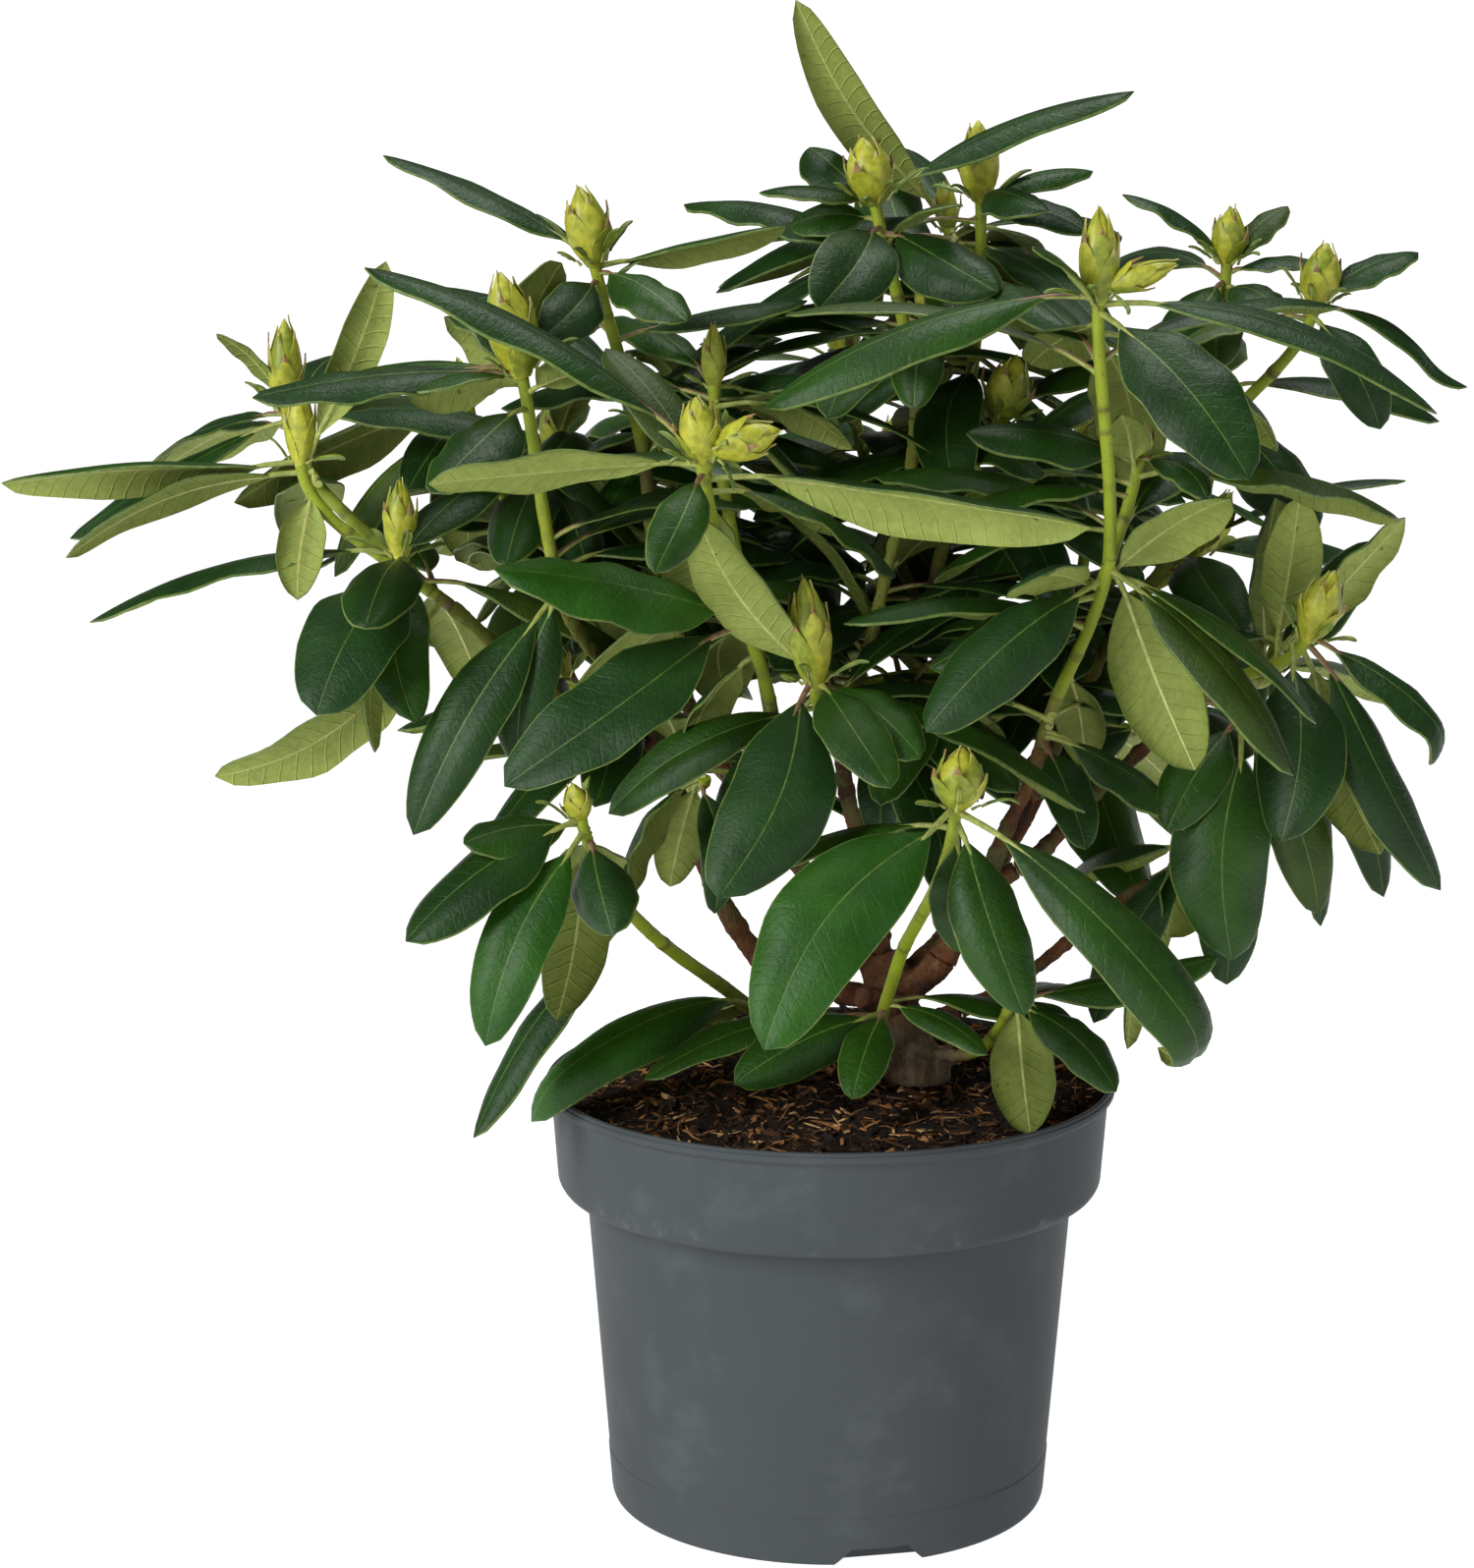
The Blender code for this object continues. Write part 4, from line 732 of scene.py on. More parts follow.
def bark_finish():
    finish = Finish("bark", (0.09, 0.062, 0.036), 0.88, specular=0.25)
    broad = finish.speckle(45, 4, 0.6)
    flakes = finish.speckle(310, 5, 0.7, (1, 1, 0.4))
    dots = finish.speckle(700, 2, 0.5).between(0.62, 0.72)
    height = finish.node("SeparateXYZ", {}, {0: finish.place()}, "Z")
    wood = finish.blend((0.042, 0.017, 0.008), (0.165, 0.062, 0.025), broad.between(0.32, 0.66))
    patches = broad.between(0.5, 0.62) * 0.6 + 0.15
    wood = finish.blend(wood, (0.30, 0.235, 0.15), flakes.between(0.5, 0.8) * patches)
    algae = finish.speckle(60, 4, 0.65).between(0.46, 0.62) * height.between(0.20, 0.25)
    wood = finish.blend(wood, (0.085, 0.11, 0.035), algae * 0.62)
    wood = finish.blend(wood, (0.17, 0.20, 0.028), (height + (broad - 0.5) * 0.16).between(0.30, 0.38) * 0.85)
    wood = finish.blend(wood, (0.024, 0.013, 0.008), dots * 0.4)
    base = 1 - height.between(0.190, 0.204)
    cone = finish.blend((0.085, 0.060, 0.036), (0.235, 0.180, 0.115), flakes.between(0.3, 0.75))
    wood = finish.blend(wood, cone, base * 0.85)
    foot = 1 - height.between(0.172, 0.181)
    finish.colour(finish.blend(wood, (0.018, 0.011, 0.008), (foot * (flakes * 1.6)).least(0.9)))
    finish.roughness(0.78 + flakes * 0.2)
    finish.relief(flakes + broad * 0.8 + dots * 0.3, 0.0016)
    return finish


def wooden_piece(name, limbs, chance, floor_height):
    """Melts a node's tubes together, then gives them lumps and cracks."""
    heap = Heap()
    for limb in limbs:
        places, faces = limb.fine(WOOD_SIDES, chance)
        heap.add(places, faces, 0)
    piece = new_piece(name, heap.places, heap.faces, [BARK])
    apply_modifier(piece, "REMESH", mode="VOXEL", voxel_size=WOOD_VOXEL)
    apply_modifier(piece, "SMOOTH", factor=0.5, iterations=3)
    mesh = piece.data
    mesh.update()
    normals = [vert.normal.copy() for vert in mesh.vertices]
    for vert, normal in zip(mesh.vertices, normals):
        lump = noise.fractal(vert.co * 210, 0.8, 2.1, 3) * 0.42
        crack = min(0, noise.noise(Vector((vert.co.x * 520, vert.co.y * 520, vert.co.z * 150))) + 0.22) * 0.9
        vert.co += normal * (lump + crack) * MM
        if vert.co.z < floor_height:
            vert.co.z = floor_height
    mesh.materials.clear()
    mesh.materials.append(BARK.material)
    shade(piece, 60)
    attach(piece, "root")
    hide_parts(name[:-5])
    return piece


def stub_and_scar():
    """The trunk's cut stub, the tan scar on the green patch, and a dead end lower down."""
    lines = [
        ((40, -14, 178), (49, -17, 188), 5.5, 4.2),
        ((24, -6, 205), (12, -16, 210), 6.5, 4.6),
        ((33, -8, 196), (44, -17, 203), 4.0, 3.2),
    ]
    return [Limb([millimetres(*start), millimetres(*end)], None, None, [thick * MM, thin * MM], None, None)
            for start, end, thick, thin in lines]


BARK = bark_finish()
caps = {}
limbs = {"trunk": trunk_limbs(caps)}
for bough in BOUGHS:
    limbs[bough.name] = bough_limbs(bough, caps)
wood_chance = random.Random(31)
for node, parts in limbs.items():
    shown = parts + stub_and_scar() if node == "trunk" else parts
    wooden_piece(node + "_wood", shown, wood_chance, 0.1745 if node == "trunk" else 0)


# Each mass of foliage is the green shoots of the last years on a bough's tip. A shoot is about 5 mm thick,
# yellow-green over brown, with a ring of scars where each year's growth began.
SHOOT_RADIUS = 2.4 * MM
STEM_SIDES = 4
STEM_SHOWN_SIDES = 10
STEM_STEP = 1.7 * MM
NEAR_SIDE = 0.02          # shoots in front of this get no more leaves to the front by rule
WHORL = 7
SEED = 71


class Shoot:
    """A green shoot, from its mass's foot or from a share of another shoot, to the foot of its bud.

    A leaf is (right, up, near, face, width[, arch[, curl]]). The first three lead from the shoot's tip to
    the leaf's tip. Face is how far the upper side turns away from the front: -1 shows it, +1 shows the
    underside. A shoot without a tip is only a whorl of leaves on the shoot that carries it.
    """
    def __init__(self, name, on=None, at=0.0, tip=None, lean=(0, 0, 1), bud=None, via=(), leaves=(),
                 full=WHORL):
        self.name = name
        self.on = on
        self.at = at
        self.tip = tip
        self.lean = lean
        self.bud = bud
        self.via = via
        self.leaves = leaves
        self.full = full


# The young shoot at the front comes out of the growing medium by itself.
FRONT_FOOT = (16, -14, 174.1)
FRONT_HEADING = (0.1, -0.1, 1)

MASSES = {
    "foliage_far_left": ("far_left_tip", [
        Shoot("N", tip=(-166, -42, 392), lean=(0, 0, 1), bud=(27, 12), leaves=[
            (-118, -26, 10, 0, 28, 20), (-7, -20, 70, -0.1, 28), (-27, -54, 58, -1, 38),
            (8, -60, 40, -1, 26), (-9, -74, 25, 0.5, 18)]),
        Shoot("N_low", on="N", at=0.3, leaves=[(-76, -74, 26, 1.2, 26, -28)], full=2),
        Shoot("D", on="N", at=0.2, tip=(-203, -45, 428), bud=(27, 11), leaves=[
            (-111, -8, 15, 0.6, 24, -3), (36, 75, 25, 0.9, 18, 8), (-86, -35, 25, 0.6, 24, 20),
            (0, -52, 20, 1, 18)], full=5),
        Shoot("C", on="N", at=0.3, tip=(-213, -5, 445), bud=(33, 13), leaves=[
            (-25, 28, 10, 0.6, 9), (-56, -27, -15, -0.3, 22), (-89, -46, 0, -0.3, 26, 14), (17, 14, 5, 0, 8)],
            full=5),
    ]),
    "foliage_left_high": ("left_high_tip", [
        Shoot("B", tip=(-118, -70, 465), lean=(-0.2, -0.1, 1), bud=(35, 18), leaves=[
            (-81, 8, -4, -0.2, 24, 10), (-96, -10, 28, -0.3, 24, 12), (-40, -8, 20, 0.8, 24),
            (14, 36, -35, 1, 26), (32, -2, 35, 0.9, 22), (-30, 16, -30, 0.9, 22),
            (-29, -42, 55, -1, 27)]),
        Shoot("W", on="B", at=0.12, leaves=[(-54, -94, 32, -1, 27), (-15, -70, 20, -0.8, 24)], full=4),
    ]),
    "foliage_left_back": ("left_back", [
        Shoot("P", tip=(-145, 30, 443), lean=(-0.2, 0, 1), bud=(18, 9), leaves=[
            (-90, -37, 30, 1, 28), (-20, -30, 50, -1, 22), (-50, -65, 40, 0, 18)]),
        Shoot("V", on="P", at=0.6, tip=(-110, 22, 424), bud=(22, 11)),
    ]),
    "foliage_left_top": ("left_top_tip", [
        Shoot("A", tip=(-92, -30, 503), lean=(-0.2, 0, 1), bud=(27, 16), leaves=[
            (-80, 38, -10, -0.25, 26, 12), (73, 12, 10, 0.3, 24, 0), (36, -22, 40, -0.5, 22),
            (-21, -25, 30, -1, 22),
            (-17, 20, 5, 0, 7), (27, 2, 5, 0, 7)], full=4),
        Shoot("A_low", on="A", at=0.72, leaves=[(75, 11, 0, -0.15, 20, 12)], full=2),
    ]),
    "foliage_front_left": ("front_left_tip", [
        Shoot("E", tip=(-50, -130, 437), lean=(-0.1, -0.1, 1), bud=(21, 14), leaves=[
            (-120, 66, -10, -0.1, 26, 18), (-96, -8, 20, 0.6, 28, 10), (-16, -38, 35, -1.2, 19),
            (138, -24, 15, 0.8, 28, 14), (-25, 20, 8, 0.3, 8), (-35, 36, -30, -0.5, 22)]),
        Shoot("E_side", on="E", at=0.96, tip=(-43, -132, 440), lean=(1, -0.1, 0.3), bud=(22, 14), full=0),
        Shoot("E_low", on="E", at=0.55, leaves=[
            (-89, 24, 40, -0.8, 36), (-86, -54, 45, -1, 34), (-81, 16, 10, -0.3, 22),
            (85, -20, 22, -0.2, 20, 34)],
            full=6),
        Shoot("O", on="E", at=0.1, tip=(-46, -40, 456), bud=(22, 9), leaves=[(54, -28, -30, 0.3, 20)],
            full=5),
    ]),
    "foliage_front_middle": ("front_middle", [
        Shoot("F", tip=(-9, -95, 352), lean=(-0.1, -0.2, 1), bud=(38, 15), leaves=[
            (-35, -72, 58, -1.2, 38), (27, -33, 50, -0.8, 24), (38, -20, 35, -0.6, 24),
            (-42, 64, 46, 1.2, 26, 4)], full=7),
    ]),
    "foliage_middle": ("middle_back", [
        Shoot("mid_1", tip=(22, 26, 375), lean=(0.1, 0.3, 1)),
        Shoot("mid_2", on="mid_1", at=0.2, tip=(52, 14, 346), lean=(0.6, 0.1, 1), leaves=[
            (-24, -78, 12, -1, 28)], full=5),
        Shoot("mid_3", on="mid_1", at=0.1, tip=(-6, 26, 338), lean=(-0.3, 0.5, 1), full=5),
    ]),
    "foliage_middle_top": ("middle_top", [
        Shoot("K", tip=(15, -15, 525), lean=(-0.2, 0, 1), bud=(23, 17), leaves=[
            (100, 40, -10, -0.2, 24, 12), (-44, 2, 10, -0.2, 20), (-25, 18, -30, -0.6, 24),
            (-32, -11, -5, -0.6, 22), (-22, -40, 52, -1.1, 30), (45, -34, 45, -1, 28),
            (-84, -74, -18, -0.35, 24, 8), (32, -2, 30, -0.3, 16)]),
        Shoot("Q", on="K", at=0.2, tip=(40, 18, 478), bud=(17, 14), full=5),
    ]),
    "foliage_top": ("top", [
        Shoot("L", tip=(58, 17, 526), lean=(-0.05, -0.1, 1), bud=(28, 15), leaves=[
            (22, -6, 45, -0.8, 22), (45, 8, -10, -0.3, 16), (41, -15, 20, -0.5, 22)], full=6),
        Shoot("L_back", on="L", at=0.82, tip=(47, 44, 512), lean=(-0.1, 0.2, 1), bud=(18, 9), leaves=[
            (-62, 87, 57, 1.4, 20, -6)], full=6),
        Shoot("R", on="L", at=0.25, tip=(66, 2, 441), lean=(0.3, -0.1, 1), bud=(23, 17), full=6),
    ]),
    "foliage_front_right": ("front_right", [
        Shoot("X", tip=(101, -85, 394), lean=(0.15, -0.2, 1), leaves=[
            (31, -76, 20, 1.5, 32), (66, -76, 30, -0.6, 24), (73, -62, 20, -0.1, 22),
            (-70, -58, 40, -1.1, 30),
            (40, 26, 30, 1, 26), (-40, -6, 45, 0.9, 24), (-60, -34, 30, -0.9, 26)], full=7),
        Shoot("H", on="X", at=0.98, tip=(93, -105, 493), bud=(31, 14), leaves=[
            (-121, -40, 15, -0.35, 28), (121, -42, 15, -0.3, 26), (49, -62, 52, -1.2, 34),
            (-26, 17, 30, -0.5, 14), (-21, -28, -40, 1.2, 24)]),
        Shoot("H_side", on="H", at=0.97, tip=(98, -107, 496), lean=(1, -0.1, 0.35), bud=(24, 9), full=0),
        Shoot("H_low", on="H", at=0.76, leaves=[(-118, 6, -10, 0.1, 24)], full=3),
        Shoot("T", on="X", at=0.9, tip=(113, -66, 431), lean=(0.1, 0.2, 1), bud=(12, 9), leaves=[
            (20, -25, 30, -0.8, 14), (-66, 10, 20, -0.6, 26), (-10, 18, 30, 1, 16)], full=5),
        Shoot("X_foot", on="X", at=0.08, leaves=[
            (14, -42, 25, -1, 20), (59, -36, 15, -0.7, 20), (57, -46, -10, -0.6, 14)], full=6),
    ]),
    "foliage_right_high": ("right_high", [
        Shoot("I", tip=(157, 30, 500), lean=(0.05, 0, 1), bud=(20, 13), leaves=[
            (-42, 25, 0, -0.2, 18), (25, 20, -10, -0.3, 16), (36, -2, 5, -0.2, 18), (-27, -31, 25, -1, 22),
            (16, -18, 30, -0.8, 20)], full=6),
        Shoot("I_low", on="I", at=0.86, leaves=[
            (-8, -26, 34, -1, 22), (-36, -4, 14, -0.8, 20), (30, -14, 20, -0.8, 20)], full=4),
        Shoot("J", on="I", at=0.1, tip=(189, 5, 485), lean=(0.15, 0, 1), bud=(22, 15), leaves=[
            (40, 18, -5, -0.4, 22), (60, -34, 0, -0.3, 18, 42, -60), (23, -49, 20, -1, 21, 36),
            (-57, -17, 20, -0.1, 22)], full=4),
        Shoot("Y", on="I", at=0.35, leaves=[(38, -49, 30, -1, 30)], full=4),
    ]),
    "foliage_right": ("right_tip", [
        Shoot("M", tip=(183, -40, 360), lean=(0.35, -0.1, 1), bud=(26, 15), leaves=[
            (46, -50, 10, -0.5, 20, 16, 95), (50, -97, 20, -0.6, 26), (29, -86, 5, 1, 30),
            (-15, -74, 40, -1.1, 34)], full=5),
        Shoot("M_low", on="M", at=0.72, leaves=[
            (48, 52, -12, 0.9, 26, 10), (10, 60, 4, 1, 24)], full=2),
        Shoot("Z", on="M", at=0.15, tip=(158, -38, 324), lean=(0, -0.6, 0.6), leaves=[
            (-5, -88, 25, -1, 38), (31, -74, 6, -0.9, 24), (-30, -40, 20, -0.8, 24)], full=4),
        Shoot("Z_back", on="M", at=0.2, tip=(178, 16, 338), lean=(0.5, 0.4, 1), bud=(18, 10), leaves=[
            (45, -92, 10, -0.6, 22), (20, -104, 10, -0.5, 18), (34, 52, 10, -0.6, 26, 10),
            (11, 70, 16, 1, 26, 10)],
            full=5),
    ]),
    "foliage_right_low": ("right_low_tip", [
        Shoot("S", tip=(152, -8, 278), lean=(0.5, 0, 1), bud=(16, 9), leaves=[
            (-22, -42, 10, 1, 30), (4, -60, 20, -0.8, 24), (-40, -82, 10, -0.6, 22),
            (-58, -76, -10, 0.5, 20)],
            full=6),
    ]),
    "foliage_foot_right": ("foot_right", [
        Shoot("foot", tip=(72, -48, 222), lean=(0.3, -0.2, 1), leaves=[
            (2, -56, 14, 1.2, 25), (30, -26, 6, -0.8, 18), (36, -34, 30, -0.6, 20),
            (78, 12, -18, -0.3, 20, 8)], full=5),
    ]),
    "foliage_front_low": ("front_foot", [
        Shoot("G", tip=(43, -125, 310), lean=(0.1, 0, 1), bud=(20, 18), via=[(25, -52, 232)], leaves=[
            (-71, -78, 58, -1.3, 40), (72, -86, 25, -0.9, 27, 36, 130), (23, -72, 33, -0.9, 26),
            (6, -60, -14, -0.9, 24)], full=5),
        Shoot("G_low", on="G", at=0.22, leaves=[
            (-94, -20, 32, -0.5, 17), (-60, -20, 40, -0.7, 24), (-14, -24, 46, -0.8, 20),
            (38, -8, 40, -0.6, 14)],
            full=5),
    ]),
    "foliage_low_left": ("low_left", [
        Shoot("U", tip=(-96, -90, 298), lean=(-0.2, -0.3, 1), bud=(14, 10), via=[(-38, 6, 205)], leaves=[
            (-63, -40, 35, -0.6, 30, 20), (-42, -9, 20, -0.9, 24, 8), (-34, -79, 38, -1, 27, 32),
            (-9, -76, 10, 1.2, 25), (13, -37, 38, -1, 24)],
            full=6),
        Shoot("U_low", on="U", at=0.72, leaves=[(-58, -85, 26, -0.3, 20, 8)], full=1),
        Shoot("U_foot", on="U", at=0.18, leaves=[(-85, -37, 46, -0.7, 27, 50, 40),
            (-24, -20, -40, 0, 24)], full=2),
    ]),
    "foliage_left_low": ("left_low", [
        Shoot("left_low", tip=(-50, -22, 300), lean=(-0.1, -0.4, 1), leaves=[
            (-31, -46, 14, 0.5, 24, 40), (4, -48, 30, -0.5, 16), (-14, -48, -20, 1, 20)], full=6),
    ]),
    "foliage_back_left": ("back_left_tip", [
        Shoot("back_1", tip=(-66, 118, 410), lean=(-0.1, 0.2, 1), bud=(27, 14)),
        Shoot("back_2", on="back_1", at=0.25, tip=(-122, 112, 384), lean=(-0.5, 0.2, 1), bud=(25, 13)),
        Shoot("back_3", on="back_1", at=0.45, tip=(-44, 160, 372), lean=(0.1, 0.6, 1), bud=(26, 13)),
    ]),
    "foliage_back_low_left": ("back_low_left", [
        Shoot("back_4", tip=(-112, 118, 318), lean=(-0.5, 0.3, 1), bud=(22, 12)),
        Shoot("back_5", on="back_4", at=0.3, tip=(-72, 146, 300), lean=(0, 0.7, 1), bud=(20, 11), full=7),
    ]),
    "foliage_back_middle": ("back_middle_tip", [
        Shoot("back_6", tip=(8, 112, 456), lean=(-0.1, 0.1, 1), bud=(28, 14)),
        Shoot("back_7", on="back_6", at=0.3, tip=(30, 156, 404), lean=(0.1, 0.5, 1), bud=(26, 13)),
        Shoot("back_8", on="back_6", at=0.3, tip=(-74, 84, 434), lean=(-0.3, 0, 1), bud=(24, 12)),
        Shoot("back_14", on="back_6", at=0.06, tip=(26, 124, 330), lean=(0.1, 0.9, 0.5), full=5),
    ]),
    "foliage_back_right": ("back_right_tip", [
        Shoot("back_9", tip=(112, 112, 408), lean=(0, 0.2, 1), bud=(27, 14)),
        Shoot("back_10", on="back_9", at=0.3, tip=(158, 92, 378), lean=(0.5, 0, 1), bud=(25, 13)),
        Shoot("back_11", on="back_9", at=0.4, tip=(82, 150, 376), lean=(-0.1, 0.6, 1), bud=(25, 13)),
    ]),
    "foliage_back_low_right": ("back_low_right", [
        Shoot("back_12", tip=(148, 112, 300), lean=(0.5, 0.3, 1), bud=(22, 12)),
        Shoot("back_13", on="back_12", at=0.35, tip=(104, 150, 292), lean=(0, 0.7, 1), bud=(20, 11), full=7),
    ]),
}


def shoot_limbs(shoots, cap):
    """The stems of a mass, and for each shoot its path."""
    paths = {}
    stems = {}
    for shoot in shoots:
        if shoot.tip is None:
            paths[shoot.name] = paths[shoot.on]
            continue
        lean = Vector(shoot.lean).normalized()
        tip = millimetres(*shoot.tip)
        if shoot.on is None:
            start, first, radius = cap.start(), cap.heading, cap.radius
        else:
            start, first = along(paths[shoot.on], shoot.at)
            first = (first + (tip - start).normalized() * 1.4).normalized()
            radius = SHOOT_RADIUS * 1.1
        points = [start] + [millimetres(*point) for point in shoot.via] + [tip]
        square = first if shoot.on is None else None
        stems[shoot.name] = Limb(points, first, lean, [radius, max(SHOOT_RADIUS, radius * 0.7)], square, lean)
        paths[shoot.name] = smooth_path(points, first, lean)
    return stems, paths


def shoot_finish():
    finish = Finish("shoot_skin", (0.16, 0.19, 0.035), 0.55, specular=0.4)
    mark = finish.node("UVMap", {"uv_map": "blade_map"}, {})
    ages = finish.node("SeparateXYZ", {}, {0: mark}, "X")
    scars = finish.node("SeparateXYZ", {}, {0: mark}, "Y")
    cloud = finish.speckle(70, 3, 0.6)
    streak = finish.speckle(420, 3, 0.6)
    green = finish.blend((0.150, 0.210, 0.006), (0.300, 0.360, 0.015), cloud)
    brown = finish.blend((0.060, 0.038, 0.018), (0.135, 0.085, 0.042), streak)
    young = (ages + cloud * 0.5 - 0.25).between(0.15, 0.62)
    skin = finish.blend(brown, green, young)
    dots = finish.speckle(900, 1, 0.5).between(0.66, 0.74) * 0.55
    skin = finish.blend(skin, (0.045, 0.028, 0.010), dots)
    finish.colour(finish.blend(skin, (0.055, 0.026, 0.014), scars * (0.55 + streak * 0.5).least(1)))
    finish.roughness(0.5 + streak * 0.2)
    finish.relief(streak + scars * 0.8, 0.0003)
    return finish


def add_stem(heap, stem, age, chance):
    """One shoot, swept with its scars. age is 0 for old wood and 1 for this year's."""
    path = smooth_path(stem.points, stem.first, stem.last, STEM_STEP)
    length = sum((b - a).length for a, b in zip(path, path[1:]))
    scars = [length * share for share in (0.0, chance.uniform(0.42, 0.6)) if share or age > 0.7]
    leaf_scars = [length * chance.uniform(0.2, 0.95) for _ in range(int(length / (38 * MM)))]
    radii, marks = [], []
    for index in range(len(path)):
        share = index / (len(path) - 1)
        here = share * length
        ring = sum(math.exp(-((here - place) / (1.3 * MM)) ** 2) for place in scars)
        scar = sum(math.exp(-((here - place) / (0.7 * MM)) ** 2) for place in leaf_scars) * 0.7
        tip_swell = 0.12 * math.exp(-((length - here) / (5 * MM)) ** 2)
        lump = noise.noise(path[index] * 190) * 0.06
        radii.append(between(stem.radii, share) * (0.94 + 0.12 * ring + 0.10 * scar + tip_swell + lump))
        tone = 0.85 * min(1, max(0, age + share * 0.9 - 0.45)) + 0.1
        marks.extend([(tone, min(1, ring * 0.9 + scar))] * STEM_SHOWN_SIDES)
    places, faces = swept(path, radii, STEM_SHOWN_SIDES, stem.start_direction, stem.end_direction)
    heap.add(places, faces, 0, marks)


SHOOT_SKIN = shoot_finish()


# A leaf is stiff and leathery: deep green and softly glossy above, pale and matt below, with a pale midrib,
# a fine pale margin that turns down, and a thick stalk. The leaves of a shoot stand in a whorl under its bud.
# Each is first tried as a plain shape, and turned a little until it grows through nothing.
LEAF_THICKNESS = 1.4 * MM
PETIOLE_RADIUS = 1.0 * MM
PETIOLE_SHARE = 0.15      # part of a leaf's length that is stalk
LEAF_WIDTH_SHARE = 0.27
ARCH = 24                 # degrees that a leaf's stalk rises above its chord, and its tip falls below
NEAR_STATIONS = [0, PETIOLE_SHARE, 0.42, 0.74]
FAR_STATIONS = [0, PETIOLE_SHARE, 0.55]
CURLED_STATIONS = NEAR_STATIONS + [0.84, 0.92]
TEST_SWELL = 0.9 * MM
GOLDEN_ANGLE = 137.5
LEAF_SPACING = 2.6 * MM
BRACT_WIDTH = 10          # in millimetres: a narrower leaf is a bract, which fills no place in a whorl
TRIES = 14
OLD_WHORL = 12            # places tried on each shoot for an old leaf
HEARTS = [(Vector((0.0, 0.02, 0.395)), Vector((0.165, 0.125, 0.135))),
          (Vector((0.045, 0.01, 0.265)), Vector((0.085, 0.095, 0.085)))]
BLADE_STATIONS = 18
BLADE_SKIN = 0.55 * MM
MARGIN = 0.45 * MM
RIB_SPREAD = 1.7          # how much wider the midrib is below than above
VEIN_SPACING = 0.0062
STALK_SIDES = 8
MARK_SCALE = 10           # a mark of 1 on a blade is 0.1 m


def closed_mesh(bm, name):
    bmesh.ops.recalc_face_normals(bm, faces=bm.faces)
    mesh = bpy.data.meshes.new(name)
    bm.to_mesh(mesh)
    bm.free()
    return mesh


def tube_mesh(name, path, radii, sides, first=None, last=None):
    """A tapering limb with flat ends square to its first and last direction."""
    bm = bmesh.new()
    around = None
    rings = []
    for index, point in enumerate(path):
        if index == 0:
            direction = first or (path[1] - path[0])
        elif index == len(path) - 1:
            direction = last or (path[-1] - path[-2])
        else:
            direction = path[index + 1] - path[index - 1]
        direction = direction.normalized()
        if around is None:
            around = direction.orthogonal().normalized()
        around = (around - direction * around.dot(direction)).normalized()
        other = direction.cross(around)
        radius = between(radii, index / (len(path) - 1))
        ring = []
        for side in range(sides):
            turn = math.tau * side / sides
            ring.append(bm.verts.new(point + (around * math.cos(turn) + other * math.sin(turn)) * radius))
        rings.append(ring)
    for low, high in zip(rings, rings[1:]):
        for side in range(sides):
            after = (side + 1) % sides
            bm.faces.new((low[side], low[after], high[after], high[side]))
    bm.faces.new(rings[0])
    bm.faces.new(rings[-1])
    bmesh.ops.triangulate(bm, faces=bm.faces)
    return closed_mesh(bm, name)


def bud_mesh(name, foot, direction, length, width):
    """A pointed egg of tight scales."""
    outline = [(-0.10, 0.45), (0.30, 1.0), (0.72, 0.66)]
    sides = 5
    axis = direction.normalized()
    right = axis.orthogonal().normalized()
    other = axis.cross(right)
    bm = bmesh.new()
    rings = []
    for height, girth in outline:
        centre = foot + axis * height * length
        rings.append([bm.verts.new(centre + (right * math.cos(math.tau * side / sides)
                                             + other * math.sin(math.tau * side / sides)) * girth * width / 2)
                      for side in range(sides)])
    top = bm.verts.new(foot + axis * length)
    for low, high in zip(rings, rings[1:]):
        for side in range(sides):
            after = (side + 1) % sides
            bm.faces.new((low[side], low[after], high[after], high[side]))
    for side in range(sides):
        bm.faces.new((rings[-1][side], rings[-1][(side + 1) % sides], top))
    bm.faces.new(rings[0])
    bmesh.ops.triangulate(bm, faces=bm.faces)
    return closed_mesh(bm, name)


class Leaf:
    def __init__(self, root, tip, face, width, stations, arch=ARCH, curl=0):
        self.stations = stations
        self.root = root
        self.tip = tip
        self.face = face
        self.width = width
        self.arch = arch
        self.curl = curl

    def heading(self, share):
        """Degrees above the chord at a share of the leaf's length."""
        end = max(0, (share - 0.72) / 0.28)
        return self.arch * (1 - 2 * share) - self.curl * end

    def spine(self, shares):
        """For each share of the length: the place on the midrib, its direction, and the upper face's."""
        chord = self.tip - self.root
        ahead = chord.normalized()
        above = (self.face - ahead * self.face.dot(ahead)).normalized()
        steps = 40
        flat = [Vector((0, 0))]
        for number in range(steps):
            angle = math.radians(self.heading((number + 0.5) / steps))
            flat.append(flat[-1] + Vector((math.cos(angle), math.sin(angle))) / steps)
        end = flat[-1]
        reach = chord.length / end.length
        tilt = math.atan2(end.y, end.x)
        result = []
        for share in shares:
            number = min(int(share * steps), steps - 1)
            part = flat[number].lerp(flat[number + 1], share * steps - number)
            along_chord = (part.x * math.cos(tilt) + part.y * math.sin(tilt)) * reach
            over_chord = (part.y * math.cos(tilt) - part.x * math.sin(tilt)) * reach
            angle = math.radians(self.heading(share)) - tilt
            direction = ahead * math.cos(angle) + above * math.sin(angle)
            normal = above * math.cos(angle) - ahead * math.sin(angle)
            result.append((self.root + ahead * along_chord + above * over_chord, direction, normal))
        return result


